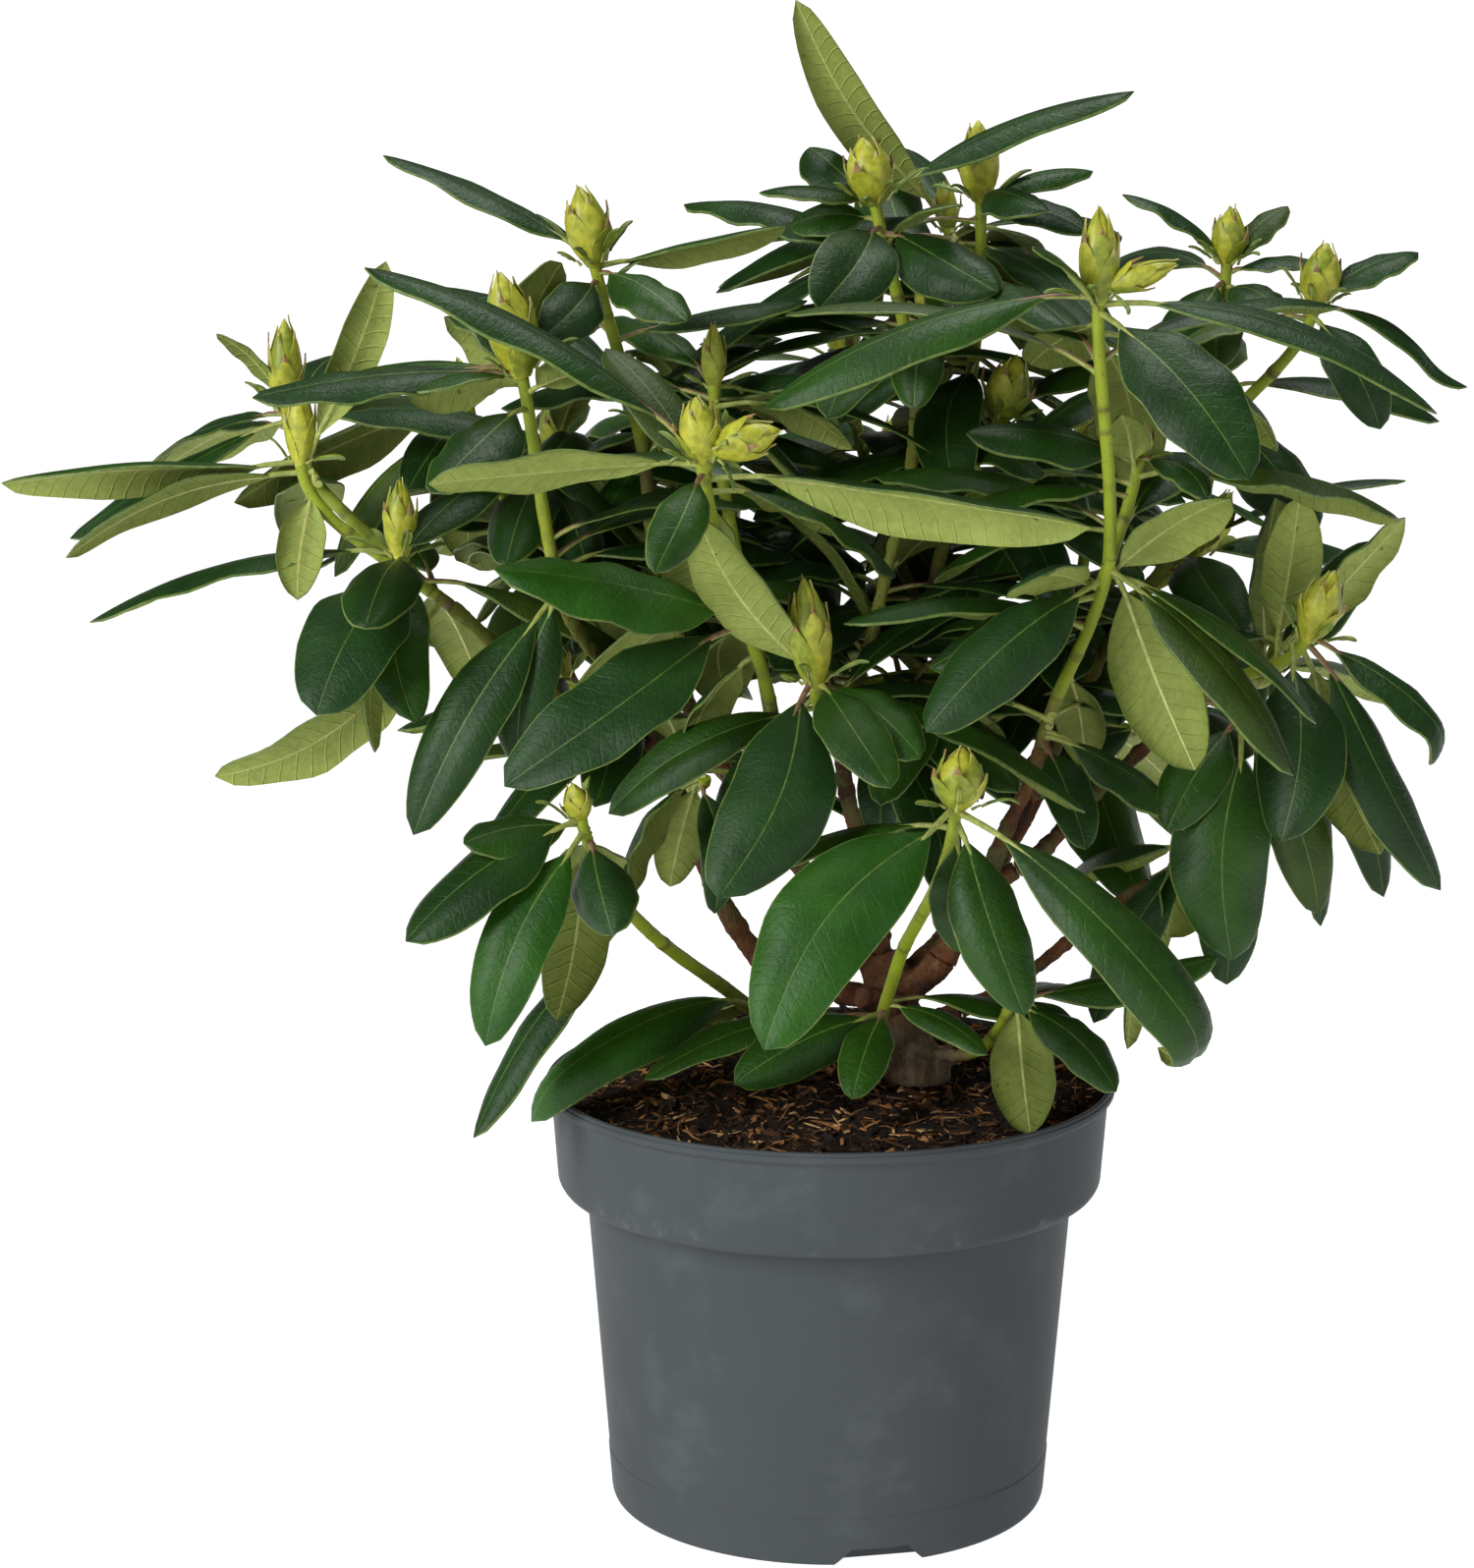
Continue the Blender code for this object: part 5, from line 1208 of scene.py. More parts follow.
def blade_share(share):
    """A leaf's width at a share of its whole length, as a share of its greatest width."""
    blade = (share - PETIOLE_SHARE) / (1 - PETIOLE_SHARE)
    if blade <= 0:
        return 0
    return min(1, 1.08 * math.sin(math.pi * blade ** 0.85) ** 0.62)


def leaf_mesh(leaf, swell=0, start=0):
    """A thin three-sided solid: two edges and a crest, from the stalk's root to a point."""
    shares = [share for share in leaf.stations if share >= start]
    bm = bmesh.new()
    rings = []
    for share, (point, direction, normal) in zip(shares, leaf.spine(shares)):
        side = direction.cross(normal)
        half = max(PETIOLE_RADIUS, leaf.width / 2 * blade_share(share)) + swell
        crest = (PETIOLE_RADIUS if share <= PETIOLE_SHARE else LEAF_THICKNESS * 0.5) + swell
        under = LEAF_THICKNESS * 0.6 + swell
        rings.append([bm.verts.new(point - side * half - normal * under),
                      bm.verts.new(point + normal * crest),
                      bm.verts.new(point + side * half - normal * under)])
    (point, direction, normal), = leaf.spine([1])
    end = bm.verts.new(point + direction * swell)
    for low, high in zip(rings, rings[1:]):
        for number in range(3):
            after = (number + 1) % 3
            bm.faces.new((low[number], low[after], high[after], high[number]))
    for number in range(3):
        bm.faces.new((rings[-1][number], rings[-1][(number + 1) % 3], end))
    bm.faces.new(rings[0])
    bmesh.ops.triangulate(bm, faces=bm.faces)
    return closed_mesh(bm, "leaf")


class Space:
    def __init__(self):
        self.entries = []

    @staticmethod
    def entry(node, mesh):
        places = [vert.co.copy() for vert in mesh.vertices]
        low = Vector([min(place[axis] for place in places) for axis in range(3)])
        high = Vector([max(place[axis] for place in places) for axis in range(3)])
        tree = BVHTree.FromPolygons(places, [tuple(face.vertices) for face in mesh.polygons])
        return node, low, high, tree

    def add(self, node, mesh, own_mesh=None):
        """own_mesh stands in for the piece when it is tested against its own node."""
        self.entries.append((self.entry(node, mesh), self.entry(node, own_mesh or mesh)))

    def is_free(self, node, mesh, own_mesh):
        whole = self.entry(node, mesh)
        outer = self.entry(node, own_mesh)
        for full, own in self.entries:
            taken, candidate = (own, outer) if full[0] == node else (full, whole)
            apart = any(taken[1][axis] > candidate[2][axis] or taken[2][axis] < candidate[1][axis]
                        for axis in range(3))
            if not apart and taken[3].overlap(candidate[3]):
                return False
        return True


def leaf_root(shoot, path, number):
    """The leaves of a bud's whorl sit below it, and those of a bare whorl round its own place."""
    length = sum((b - a).length for a, b in zip(path, path[1:]))
    if shoot.tip is None:
        place = shoot.at + (number - 2) * LEAF_SPACING / length
    else:
        place = 1 - (1.5 * MM + number * LEAF_SPACING) / length
    return along(path, min(max(place, 0.02), 1))[0]


def whorl_centre(shoot, path):
    return along(path, shoot.at if shoot.tip is None else 1)[0]


def measured_leaf(shoot, path, number, entry):
    right, up, near, face, width, *bend = entry
    arch, curl = bend + [ARCH, 0][len(bend):]
    tip = whorl_centre(shoot, path) + millimetres(right, -near, up)
    return Leaf(leaf_root(shoot, path, number), tip, Vector((0, face, 1)), width * MM,
                CURLED_STATIONS if curl else NEAR_STATIONS, arch, curl)


def ruled_leaf(shoot, path, number, turn, chance):
    """A leaf of the hidden side: spread by the golden angle, the lower ones hanging more."""
    rise = math.radians(22 - 9 * number + chance.uniform(-9, 9))
    length = chance.uniform(82, 118) * MM
    outward = Vector((math.cos(turn), math.sin(turn), 0))
    root = leaf_root(shoot, path, number)
    tip = root + (outward * math.cos(rise) + UP * math.sin(rise)) * length
    return Leaf(root, tip, UP + outward * 0.3, length * LEAF_WIDTH_SHARE * chance.uniform(0.9, 1.15),
                FAR_STATIONS)


def settle(leaf, node, space, chance):
    """Turns a leaf a little about its root until it grows through nothing. None if it can't."""
    for attempt in range(TRIES):
        sizes = [(leaf_mesh(leaf, swell), leaf_mesh(leaf, swell, start=0.3)) for swell in (0, TEST_SWELL)]
        if all(space.is_free(node, mesh, outer) for mesh, outer in sizes):
            space.add(node, *sizes[-1])
            return leaf
        reach = math.radians(1.5 + attempt)
        axis = Vector([chance.uniform(-1, 1) for _ in range(3)]).normalized()
        swing = Quaternion(axis, chance.choice((-1, 1)) * reach)
        leaf = Leaf(leaf.root, leaf.root + swing @ (leaf.tip - leaf.root), swing @ leaf.face, leaf.width,
                    leaf.stations, leaf.arch, leaf.curl)
    return None


def gap_to(turns, turn):
    """Degrees from a heading to the nearest one that is taken."""
    gaps = [abs((math.degrees(turn - other) + 180) % 360 - 180) for other in turns]
    return min(gaps, default=180)


def grow_leaves(space, stems):
    """The leaves of each mass: those measured first, then those that fill each whorl by rule."""
    leaves = {mass: [] for mass in MASSES}
    turns = {}
    for mass, (_, shoots) in MASSES.items():
        for shoot in shoots:
            path = stems[mass][shoot.name]
            chance = random.Random(f"{SEED} {shoot.name}")
            turns[shoot.name] = []
            for number, entry in enumerate(shoot.leaves):
                leaf = settle(measured_leaf(shoot, path, number, entry), mass, space, chance)
                if leaf:
                    leaves[mass].append(leaf)
                if entry[4] > BRACT_WIDTH:
                    turns[shoot.name].append(math.atan2(-entry[2], entry[0]))
    for mass, (_, shoots) in MASSES.items():
        for shoot in shoots:
            path = stems[mass][shoot.name]
            chance = random.Random(f"{SEED} fill {shoot.name}")
            turn = chance.uniform(0, math.tau)
            on_near_side = whorl_centre(shoot, path).y < NEAR_SIDE
            for number in range(3 * WHORL):
                if len(turns[shoot.name]) >= shoot.full:
                    break
                turn += math.radians(GOLDEN_ANGLE)
                if gap_to(turns[shoot.name], turn) < 33 or (on_near_side and -math.sin(turn) > 0.25):
                    continue
                order = len(turns[shoot.name])
                leaf = settle(ruled_leaf(shoot, path, order, turn, chance), mass, space, chance)
                if leaf:
                    leaves[mass].append(leaf)
                    turns[shoot.name].append(turn)
    return leaves


def all_leaves(stems_of, paths_of):
    """Every mass's leaves, kept clear of the pot, the compost, the wood and one another."""
    space = Space()
    for name in ("pot", "growing_medium"):
        space.add(name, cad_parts[name].data)
    for node, parts in limbs.items():
        for number, limb in enumerate(parts):
            sides = 9 if node == "trunk" and number == 0 else LIMB_SIDES
            space.add(node, limb.coarse(sides))
    for mass, (_, shoots) in MASSES.items():
        for shoot in shoots:
            if shoot.tip is None:
                continue
            space.add(mass, stems_of[mass][shoot.name].coarse(STEM_SIDES))
            if shoot.bud:
                length, width = shoot.bud
                space.add(mass, bud_mesh("bud", millimetres(*shoot.tip), Vector(shoot.lean).normalized(),
                                         length * MM, width * MM))
    found = grow_leaves(space, paths_of)
    return found, space


def in_the_heart(*points):
    """Whether all the points lie within one of the two hearts of the crown."""
    for centre, reach in HEARTS:
        offsets = [point - centre for point in points]
        if all(sum((offset[axis] / reach[axis]) ** 2 for axis in range(3)) < 1 for offset in offsets):
            return True
    return False


def inner_leaves(space, paths_of):
    """Old leaves lower on the shoots, in the heart of the crown, where little of them shows."""
    found = {mass: [] for mass in MASSES}
    for mass, (_, shoots) in MASSES.items():
        for shoot in shoots:
            if shoot.tip is None:
                continue
            path = paths_of[mass][shoot.name]
            chance = random.Random(f"{SEED} old {shoot.name}")
            turn = chance.uniform(0, math.tau)
            for _ in range(OLD_WHORL):
                turn += math.radians(GOLDEN_ANGLE)
                root, _ = along(path, chance.uniform(0.15, 0.75))
                rise = math.radians(chance.uniform(-48, 22))
                outward = Vector((math.cos(turn), math.sin(turn), 0))
                length = chance.uniform(70, 100) * MM
                tip = root + (outward * math.cos(rise) + UP * math.sin(rise)) * length
                leaf = Leaf(root, tip, UP + outward * 0.3, length * LEAF_WIDTH_SHARE, FAR_STATIONS)
                leaf = settle(leaf, mass, space, chance) if in_the_heart(root, tip) else None
                if leaf:
                    found[mass].append(leaf)
    return found


def blade_outline(along_blade):
    """Half-width at a share of the blade: wedge-shaped below, blunt at the tip."""
    if along_blade <= 0 or along_blade >= 1:
        return 0.0
    power = 0.50 + 0.45 * (1 - along_blade) ** 2
    return min(1.0, 1.05 * math.sin(math.pi * along_blade ** 0.92) ** power)


class Blade:
    """How one leaf is bent: chosen by a seeded rule, so that no two are alike."""
    def __init__(self, leaf, chance, greens, unders):
        self.fold = chance.uniform(0.04, 0.34)
        self.recurve = chance.uniform(0.26, 0.80)
        self.waves = chance.uniform(0.02, 0.11)
        self.wave_count = chance.uniform(1.6, 3.4)
        self.phase = chance.uniform(0, math.tau)
        self.twist = math.radians(chance.gauss(0, 11))
        self.bow = chance.gauss(0, 0.035)
        self.green = greens
        self.under = unders
        self.red = chance.random() < 0.45
        if leaf.width > 36 * MM:
            self.waves *= 1.7
            self.recurve *= 0.7

    def lift(self, across, along_blade):
        """Height of the blade over its midrib, in half-widths."""
        edge = abs(across)
        ripple = math.sin(math.tau * self.wave_count * along_blade + self.phase + (2.1 if across > 0 else 0))
        return (self.fold * edge - self.recurve * edge ** 2.4 + self.waves * ripple * edge ** 2)


def add_blade(heap, leaf, blade):
    """A leaf's blade and midrib as one thin closed skin, and its stalk."""
    shares = []
    for number in range(BLADE_STATIONS + 1):
        t = number / BLADE_STATIONS
        shares.append(PETIOLE_SHARE + (1 - PETIOLE_SHARE) * (t * 0.9 + 0.1 * math.sin(t * math.pi / 2) ** 2))
    spine = leaf.spine(shares)
    length = (leaf.tip - leaf.root).length
    places, marks = [], []
    columns = 0
    for share, (point, direction, normal) in zip(shares, spine):
        t = (share - PETIOLE_SHARE) / (1 - PETIOLE_SHARE)
        half = max(leaf.width / 2 * blade_outline(t), 0.5 * MM if t < 0.5 else 0.12 * MM)
        turned = Quaternion(direction, blade.twist * t)
        up = turned @ normal
        side = direction.cross(up)
        centre = point + side * blade.bow * length * math.sin(math.pi * t)
        rib = max(0.07 * MM, (0.40 - 0.27 * t) * MM * min(1, leaf.width / (16 * MM)))
        rib_share = min(rib / half, 0.5)
        edge_share = max(1 - MARGIN / half, rib_share + 0.3)
        blade_part = edge_share - rib_share
        inner = [rib_share, rib_share + 0.3 * blade_part, rib_share + 0.66 * blade_part, edge_share, 1.0]
        across = [-value for value in reversed(inner)] + inner
        columns = len(across)
        for layer in (0, 1):
            for value in across:
                height = blade.lift(value, t) * half
                on_rib = abs(value) <= rib_share + 1e-6
                if layer == 0:
                    sink = -0.25 * MM if on_rib else 0
                    place = centre + side * value * half + up * (height + sink)
                else:
                    sink = 0.55 * MM * (1.15 - t) if on_rib else 0
                    squeeze = 0.97 if abs(value) == 1 else RIB_SPREAD if on_rib else 1
                    place = centre + side * value * half * squeeze + up * (height - BLADE_SKIN - sink)
                places.append(place)
                marks.append((t * length * (1 - PETIOLE_SHARE) * MARK_SCALE, value * half * MARK_SCALE))
    rows = len(shares)
    stride = columns * 2
    faces, slots = [], []
    for row in range(rows - 1):
        here, ahead = row * stride, (row + 1) * stride
        for column in range(columns - 1):
            middle = column == columns // 2 - 1
            margin = column in (0, columns - 2)
            faces.append((here + column, here + column + 1, ahead + column + 1, ahead + column))
            slots.append(MIDRIB_SLOT if middle else MARGIN_SLOT if margin else blade.green)
            low, high = here + columns, ahead + columns
            faces.append((low + column, high + column, high + column + 1, low + column + 1))
            slots.append(RIB_UNDER_SLOT if middle else blade.under)
        faces.append((here, ahead, ahead + columns, here + columns))
        slots.append(MARGIN_SLOT)
        right_here, right_ahead = here + columns - 1, ahead + columns - 1
        faces.append((right_here, right_here + columns, right_ahead + columns, right_ahead))
        slots.append(MARGIN_SLOT)
    first = list(range(columns)) + [columns + number for number in reversed(range(columns))]
    faces.append(tuple(reversed(first)))
    slots.append(MARGIN_SLOT)
    last = (rows - 1) * stride
    faces.append(tuple(last + number for number in first))
    slots.append(MARGIN_SLOT)
    heap.add(places, faces, slots, marks)
    add_stalk(heap, leaf, blade)


def add_stalk(heap, leaf, blade):
    thin = min(1.0, max(0.45, leaf.width / (18 * MM)))
    shares = [0, 0.02, 0.05, 0.09, 0.13, PETIOLE_SHARE + 0.03, PETIOLE_SHARE + 0.10]
    girths = [1.75, 1.55, 1.30, 1.22, 1.18, 0.95, 0.35]
    places, faces, slots, marks = [], [], [], []
    for index, (share, girth) in enumerate(zip(shares, girths)):
        (point, direction, normal), = leaf.spine([share])
        side = direction.cross(normal)
        centre = point - normal * (0.5 * MM if share > PETIOLE_SHARE else 0)
        if share == 0:
            centre = centre - direction * 1.2 * MM
        for number in range(STALK_SIDES):
            turn = math.tau * (number + 0.5) / STALK_SIDES
            around = side * math.cos(turn) + normal * math.sin(turn) * 0.85
            places.append(centre + around * girth * thin * MM)
            marks.append((share, 0))
        if index:
            low, high = (index - 1) * STALK_SIDES, index * STALK_SIDES
            for number in range(STALK_SIDES):
                after = (number + 1) % STALK_SIDES
                faces.append((low + number, high + number, high + after, low + after))
                upper = math.sin(math.tau * (number + 1) / STALK_SIDES) > 0.1
                slots.append(STALK_RED_SLOT if upper and blade.red else STALK_SLOT)
    faces.append(tuple(range(STALK_SIDES)))
    faces.append(tuple((len(shares) - 1) * STALK_SIDES + number for number in range(STALK_SIDES))[::-1])
    slots += [STALK_SLOT, STALK_SLOT]
    heap.add(places, faces, slots, marks)


def upper_finish(name, dark, light, gloss):
    """The upper side of a blade: puckered between its side veins, with a soft shine."""
    finish = Finish(name, light, gloss, coat=0.04, specular=0.24)
    finish.shader.inputs["Coat Roughness"].default_value = 0.35
    mark = finish.node("UVMap", {"uv_map": "blade_map"}, {})
    ahead = finish.node("SeparateXYZ", {}, {0: mark}, "X")
    across = abs(finish.node("SeparateXYZ", {}, {0: mark}, "Y"))
    cloud = finish.speckle(38, 4, 0.6)
    fine = finish.speckle(620, 3, 0.6)
    step = ((ahead - across * 0.62) * (1 / (VEIN_SPACING * MARK_SCALE)) + cloud * 1.6).fraction()
    vein = 1 - abs(step - 0.5).between(0.0, 0.08)
    blade = finish.blend(dark, light, (cloud * 0.75 + fine * 0.25).between(0.3, 0.72))
    blade = finish.blend(blade, tuple(part * 1.4 for part in light), vein * 0.07)
    finish.colour(blade)
    finish.roughness(gloss + fine * 0.12 - cloud * 0.04)
    finish.relief(fine * 1.1 + cloud * 2.4 - vein * 0.22, 0.0005, 0.8)
    return finish


def under_finish(name, dark, light):
    """The underside: matt and pale, with raised side veins and a few brown specks."""
    finish = Finish(name, light, 0.72, specular=0.3)
    mark = finish.node("UVMap", {"uv_map": "blade_map"}, {})
    ahead = finish.node("SeparateXYZ", {}, {0: mark}, "X")
    across = abs(finish.node("SeparateXYZ", {}, {0: mark}, "Y"))
    cloud = finish.speckle(42, 4, 0.6)
    net = finish.speckle(520, 3, 0.6)
    step = ((ahead - across * 0.62) * (1 / (VEIN_SPACING * MARK_SCALE)) + cloud * 0.9).fraction()
    vein = 1 - abs(step - 0.5).between(0.0, 0.10)
    blade = finish.blend(dark, light, (cloud * 0.6 + net * 0.4).between(0.3, 0.7))
    blade = finish.blend(blade, tuple(part * 1.35 for part in light), vein * 0.45)
    specks = finish.speckle(230, 2, 0.5).between(0.70, 0.76)
    finish.colour(finish.blend(blade, (0.09, 0.045, 0.015), specks * 0.7))
    finish.relief(vein + net * 0.35, 0.0005, 0.8)
    return finish


def plain_finish(name, dark, light, roughness, scale=300):
    """A ridge, stalk or scale: its own colour with a little fine variation."""
    finish = Finish(name, light, roughness, specular=0.4)
    grain = finish.speckle(scale, 3, 0.6)
    finish.colour(finish.blend(dark, light, grain.between(0.3, 0.7)))
    finish.relief(grain, 0.0003, 0.6)
    return finish


UPPER_GREENS = [
    upper_finish("leaf_deep", (0.004, 0.022, 0.002), (0.010, 0.044, 0.003), 0.42),
    upper_finish("leaf_cool", (0.006, 0.027, 0.004), (0.014, 0.052, 0.008), 0.44),
    upper_finish("leaf_mid", (0.008, 0.034, 0.002), (0.018, 0.066, 0.003), 0.42),
    upper_finish("leaf_olive", (0.017, 0.038, 0.003), (0.036, 0.068, 0.006), 0.48),
    upper_finish("leaf_bright", (0.009, 0.050, 0.002), (0.021, 0.092, 0.003), 0.42),
]
UNDER_GREENS = [
    under_finish("leaf_under_pale", (0.18, 0.225, 0.045), (0.28, 0.335, 0.075)),
    under_finish("leaf_under_olive", (0.12, 0.155, 0.026), (0.20, 0.245, 0.048)),
]
LEAF_FINISHES = UPPER_GREENS + UNDER_GREENS + [
    plain_finish("midrib", (0.045, 0.095, 0.012), (0.10, 0.16, 0.026), 0.5),
    plain_finish("midrib_under", (0.30, 0.32, 0.08), (0.44, 0.45, 0.15), 0.5),
    plain_finish("leaf_margin", (0.055, 0.10, 0.014), (0.12, 0.17, 0.03), 0.5),
    plain_finish("leaf_stalk", (0.20, 0.24, 0.05), (0.34, 0.37, 0.09), 0.5),
    plain_finish("leaf_stalk_red", (0.14, 0.075, 0.045), (0.24, 0.14, 0.075), 0.5),
    plain_finish("bract_green", (0.15, 0.21, 0.024), (0.27, 0.33, 0.045), 0.5),
]
MIDRIB_SLOT, RIB_UNDER_SLOT, MARGIN_SLOT, STALK_SLOT, STALK_RED_SLOT, YOUNG_SLOT = range(
    len(UPPER_GREENS) + len(UNDER_GREENS), len(LEAF_FINISHES))
GREEN_SHARES = [0.32, 0.24, 0.26, 0.15, 0.03]
BRIGHT = 4


# The buds are next year's flowers: yellow-green, pointed, and wrapped in overlapping scales whose tips dry
# to brown wisps. Narrow bracts stand round the foot of each.
BUD_OUTLINE = [(-0.14, 0.40), (0.0, 0.66), (0.15, 0.90), (0.30, 1.0), (0.45, 0.98), (0.60, 0.86),
               (0.75, 0.64), (0.88, 0.38), (1.0, 0.06)]
SCALES = 11
SCALE_ROWS = 7
SCALE_COLUMNS = 5
SCALE_STATIONS = [0, 0.22, 0.45, 0.66, 0.82, 0.94, 1.0]
SCALE_SKIN = 0.35 * MM


def bud_girth(height):
    """A bud's half-width at a share of its height, as a share of the greatest."""
    height = min(max(height, BUD_OUTLINE[0][0]), 1)
    for (low, wide), (high, narrow) in zip(BUD_OUTLINE, BUD_OUTLINE[1:]):
        if height <= high:
            return wide + (narrow - wide) * (height - low) / (high - low)
    return 0


def add_scale(heap, foot, axes, length, width, turn, low, high, spread, wisp, tints):
    """One bud scale: a pointed shield wrapped on the bud, thin and closed."""
    axis, right, away = axes
    top, under = [], []
    for row in range(SCALE_ROWS):
        t = SCALE_STATIONS[row]
        height = low + (high - low) * t
        reach = spread * (1 - t ** 1.7) ** 0.8 if t < 1 else 0.02
        lift = 0.25 * MM + 0.6 * MM * t + wisp * 0.42 * max(0, t - 0.62) * width
        for column in range(SCALE_COLUMNS):
            across = (column / (SCALE_COLUMNS - 1) - 0.5) * 2
            angle = turn + across * reach
            outward = right * math.cos(angle) + away * math.sin(angle)
            hollow = 0.12 * width * across ** 2 * 0.3
            radius = bud_girth(height) * width / 2 + lift - hollow * 0.5
            place = foot + axis * (height * length) + outward * radius
            if row == SCALE_ROWS - 1:
                place = place + axis * wisp * 3.0 * MM
            top.append(place)
            under.append(place - outward * SCALE_SKIN)
    count = len(top)
    faces, slots = [], []
    for row in range(SCALE_ROWS - 1):
        tint = tints[1] if row == SCALE_ROWS - 2 else tints[0]
        for column in range(SCALE_COLUMNS - 1):
            here = row * SCALE_COLUMNS + column
            ahead = here + SCALE_COLUMNS
            faces.append((here, here + 1, ahead + 1, ahead))
            faces.append((count + here, count + ahead, count + ahead + 1, count + here + 1))
            slots += [tint, tint]
    rim = list(range(SCALE_COLUMNS))
    rim += [row * SCALE_COLUMNS + SCALE_COLUMNS - 1 for row in range(1, SCALE_ROWS)]
    rim += [(SCALE_ROWS - 1) * SCALE_COLUMNS + column for column in reversed(range(SCALE_COLUMNS - 1))]
    rim += [row * SCALE_COLUMNS for row in reversed(range(1, SCALE_ROWS - 1))]
    for here, ahead in zip(rim, rim[1:] + rim[:1]):
        faces.append((ahead, here, count + here, count + ahead))
        slots.append(tints[1] if min(here, ahead) >= (SCALE_ROWS - 2) * SCALE_COLUMNS else tints[2])
    heap.add(top + under, faces, slots)


def add_core(heap, foot, axes, length, width):
    axis, right, away = axes
    sides = 12
    places, faces = [], []
    for height, girth in BUD_OUTLINE:
        for side in range(sides):
            turn = math.tau * side / sides
            places.append(foot + axis * height * length
                          + (right * math.cos(turn) + away * math.sin(turn)) * girth * width / 2 * 0.96)
    for row in range(len(BUD_OUTLINE) - 1):
        for side in range(sides):
            after = (side + 1) % sides
            low, high = row * sides, (row + 1) * sides
            faces.append((low + side, low + after, high + after, high + side))
    faces.append(tuple(range(sides))[::-1])
    faces.append(tuple((len(BUD_OUTLINE) - 1) * sides + side for side in range(sides)))
    heap.add(places, faces, 0)


def add_bud(heap, foot, lean, length, width, chance):
    axis = lean.normalized()
    right = axis.orthogonal().normalized()
    axes = (axis, right, axis.cross(right))
    add_core(heap, foot, axes, length, width)
    turn = chance.uniform(0, math.tau)
    scales = SCALES if width > 11 * MM else 7
    for number in range(scales):
        rank = number / (scales - 1)
        low = -0.12 + 0.52 * rank
        high = min(1.02, low + 0.60 + 0.06 * rank + chance.uniform(-0.10, 0.10))
        spread = 1.05 - 0.25 * rank
        wisp = (1 - rank) * chance.uniform(0.3, 1.3) + 0.1
        tint = chance.choice((0, 0, 1))
        add_scale(heap, foot, axes, length, width, turn, low, high, spread, wisp,
                  (tint, 2 if wisp > 0.6 else 3, 3))
        turn += math.radians(GOLDEN_ANGLE)


BUD_FINISHES = [
    plain_finish("bud_scale", (0.24, 0.26, 0.016), (0.42, 0.42, 0.035), 0.42, 260),
    plain_finish("bud_scale_green", (0.15, 0.19, 0.012), (0.28, 0.32, 0.026), 0.42, 260),
    plain_finish("bud_scale_tip", (0.16, 0.085, 0.030), (0.30, 0.19, 0.07), 0.6, 420),
    plain_finish("bud_scale_edge", (0.30, 0.27, 0.06), (0.42, 0.38, 0.12), 0.5, 420),
]


def bract(foot, lean, girth, turn, length, width, rise):
    """A narrow leaflet at the foot of a bud."""
    axis = lean.normalized()
    right = axis.orthogonal().normalized()
    outward = right * math.cos(turn) + axis.cross(right) * math.sin(turn)
    root = foot - axis * 1.5 * MM + outward * girth * 0.36
    tip = root + (outward * math.cos(rise) + axis * math.sin(rise)) * length
    return Leaf(root, tip, axis, width, NEAR_STATIONS, 18, 30)


# The dressed masses: for each, one piece of shoots, one of leaves and one of buds.
mass_stems, mass_paths = {}, {}
caps["front_foot"] = Cap(millimetres(*FRONT_FOOT), Vector(FRONT_HEADING), SHOOT_RADIUS * 1.25)
for mass, (on, shoots) in MASSES.items():
    mass_stems[mass], mass_paths[mass] = shoot_limbs(shoots, caps[on])
mass_leaves, taken = all_leaves(mass_stems, mass_paths)
old_leaves = inner_leaves(taken, mass_paths)
for mass, (on, shoots) in MASSES.items():
    chance = random.Random("looks " + mass)
    shoot_heap, leaf_heap, bud_heap = Heap(), Heap(), Heap()
    for shoot in shoots:
        if shoot.tip is None:
            continue
        add_stem(shoot_heap, mass_stems[mass][shoot.name], 0.62 if shoot.on is None else 0.9, chance)
        if not shoot.bud:
            continue
        length, width = shoot.bud[0] * MM, shoot.bud[1] * MM
        foot, lean = millimetres(*shoot.tip), Vector(shoot.lean).normalized()
        add_bud(bud_heap, foot, lean, length, width, chance)
        turn = chance.uniform(0, math.tau)
        for number in range(chance.randint(4, 6) if width > 11 * MM else 2):
            turn += math.radians(GOLDEN_ANGLE)
            leaflet = bract(foot, lean, width, turn, chance.uniform(9, 20) * MM,
                            chance.uniform(2.4, 4.6) * MM, math.radians(chance.uniform(5, 52)))
            add_blade(leaf_heap, leaflet, Blade(leaflet, chance, YOUNG_SLOT, YOUNG_SLOT))
    for leaf in mass_leaves[mass]:
        green = chance.choices(range(len(UPPER_GREENS)), GREEN_SHARES)[0]
        under = len(UPPER_GREENS) + chance.choice((0, 1))
        if mass == "foliage_front_low":
            green = BRIGHT if leaf.width > 30 * MM else 2
        add_blade(leaf_heap, leaf, Blade(leaf, chance, green, under))
    for leaf in old_leaves[mass]:
        add_blade(leaf_heap, leaf, Blade(leaf, chance, chance.choice((0, 0, 2)), len(UPPER_GREENS) + 1))
    shoot_heap.piece("shoots" + mass[7:], [SHOOT_SKIN], mass, "foliage", 60)
    leaf_heap.piece("leaves" + mass[7:], LEAF_FINISHES, mass, "foliage", 75)
    if bud_heap.count:
        bud_heap.piece("buds" + mass[7:], BUD_FINISHES, mass, "foliage", 60)

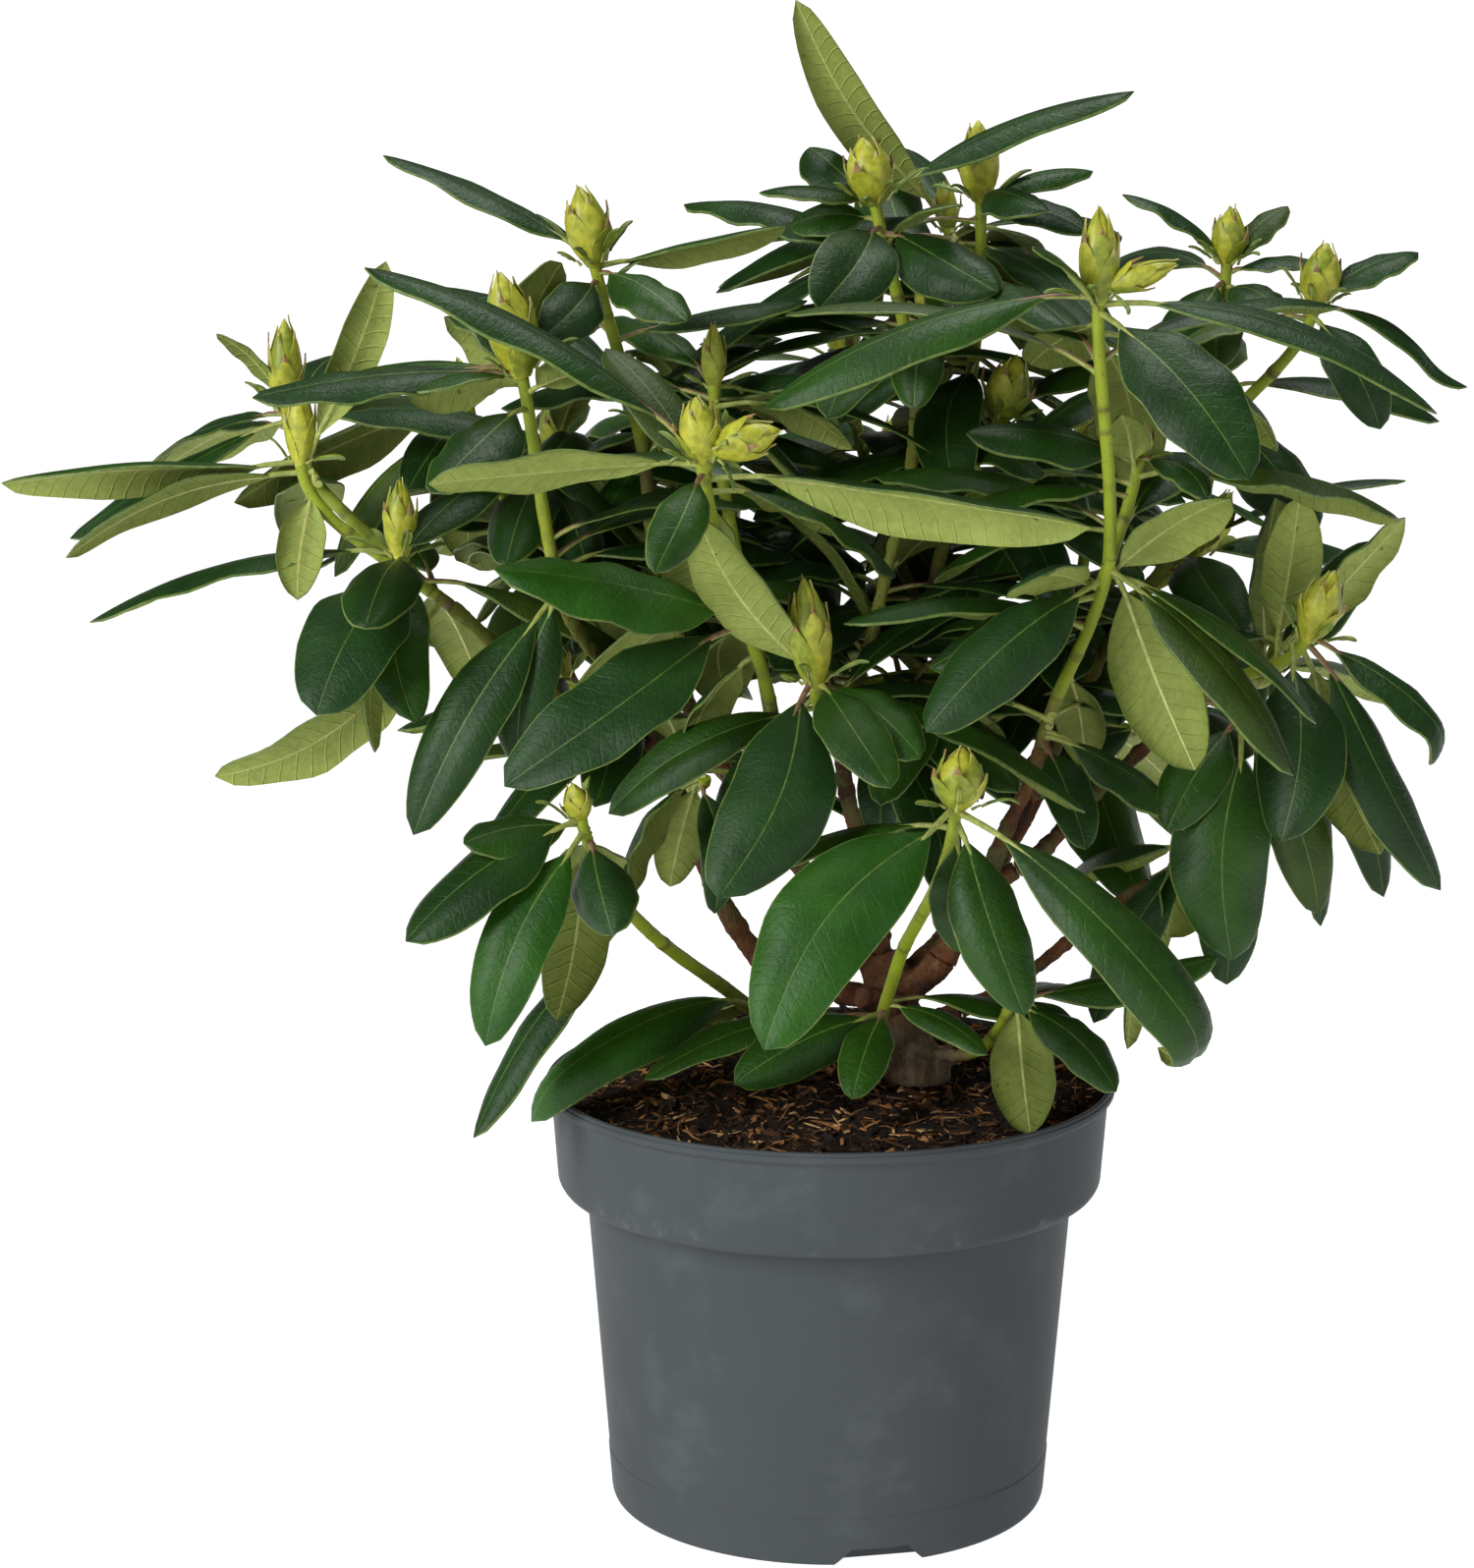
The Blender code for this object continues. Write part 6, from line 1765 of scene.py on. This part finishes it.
# The studio: a round white floor whose far edge sweeps up, soft light from both sides and above, and the
# camera at the height of the crown, looking a little down.
CAMERA_PLACE = (-0.0373, -1.45, 0.5622)
CAMERA_TILT = 79.5        # degrees from looking straight down
LENS = 84.95
FLOOR_REACH = 4.6
FLOOR_SWEEP = 1.0         # radius of the sweep at the floor's edge
FLOOR_TURNS = 96
FLOOR_GLOW = 0.98


def make_floor():
    paper = Finish("studio_paper", (0.35, 0.35, 0.35), 0.95, specular=0.0)
    paper.shader.inputs["Emission Color"].default_value = (1, 1, 1, 1)
    paper.shader.inputs["Emission Strength"].default_value = FLOOR_GLOW
    line = [(0, 0), (0.5, 0), (1.5, 0), (FLOOR_REACH, 0)]
    for number in range(1, 11):
        turn = math.radians(90 * number / 10)
        line.append((FLOOR_REACH + FLOOR_SWEEP * math.sin(turn), FLOOR_SWEEP * (1 - math.cos(turn))))
    line.append((FLOOR_REACH + FLOOR_SWEEP, FLOOR_SWEEP + 0.3))
    dish = new_piece("floor", [(radius, 0, height) for radius, height in line], [], [paper],
                     [(number, number + 1) for number in range(len(line) - 1)])
    edit_all(dish,
             lambda: bpy.ops.mesh.spin(steps=FLOOR_TURNS, angle=math.tau, center=(0, 0, 0), axis=(0, 0, 1)),
             lambda: bpy.ops.mesh.remove_doubles(threshold=0.00002),
             lambda: bpy.ops.mesh.normals_make_consistent(inside=True))
    shade(dish, 60)


def add_light(name, place, target, size, power):
    lamp = bpy.data.lights.new(name, "AREA")
    lamp.shape = "RECTANGLE"
    lamp.size, lamp.size_y = size
    lamp.energy = power
    made = bpy.data.objects.new(name, lamp)
    bpy.context.scene.collection.objects.link(made)
    made.location = place
    made.rotation_euler = (Vector(target) - Vector(place)).to_track_quat("-Z", "Y").to_euler()


make_floor()
add_light("key", (-1.5, -1.55, 1.3), (0, 0, 0.33), (0.6, 1.4), 53)
add_light("fill", (1.8, -1.0, 1.2), (0, 0, 0.33), (0.4, 1.5), 1.5)
add_light("top", (0.2, 0.3, 2.2), (0, 0, 0.3), (1.0, 0.8), 25)
world = bpy.data.worlds.new("studio")
world.use_nodes = True
world.node_tree.nodes["Background"].inputs["Color"].default_value = (1, 1, 1, 1)
world.node_tree.nodes["Background"].inputs["Strength"].default_value = 0.06
bpy.context.scene.world = world
bpy.context.scene.view_settings.view_transform = "Standard"
eye = bpy.data.cameras.new("camera")
eye.lens = LENS
eye.sensor_width = 36
eye.sensor_fit = "AUTO"
camera = bpy.data.objects.new("camera", eye)
camera.location = CAMERA_PLACE
camera.rotation_euler = (math.radians(CAMERA_TILT), 0, 0)
bpy.context.scene.collection.objects.link(camera)
bpy.context.scene.camera = camera
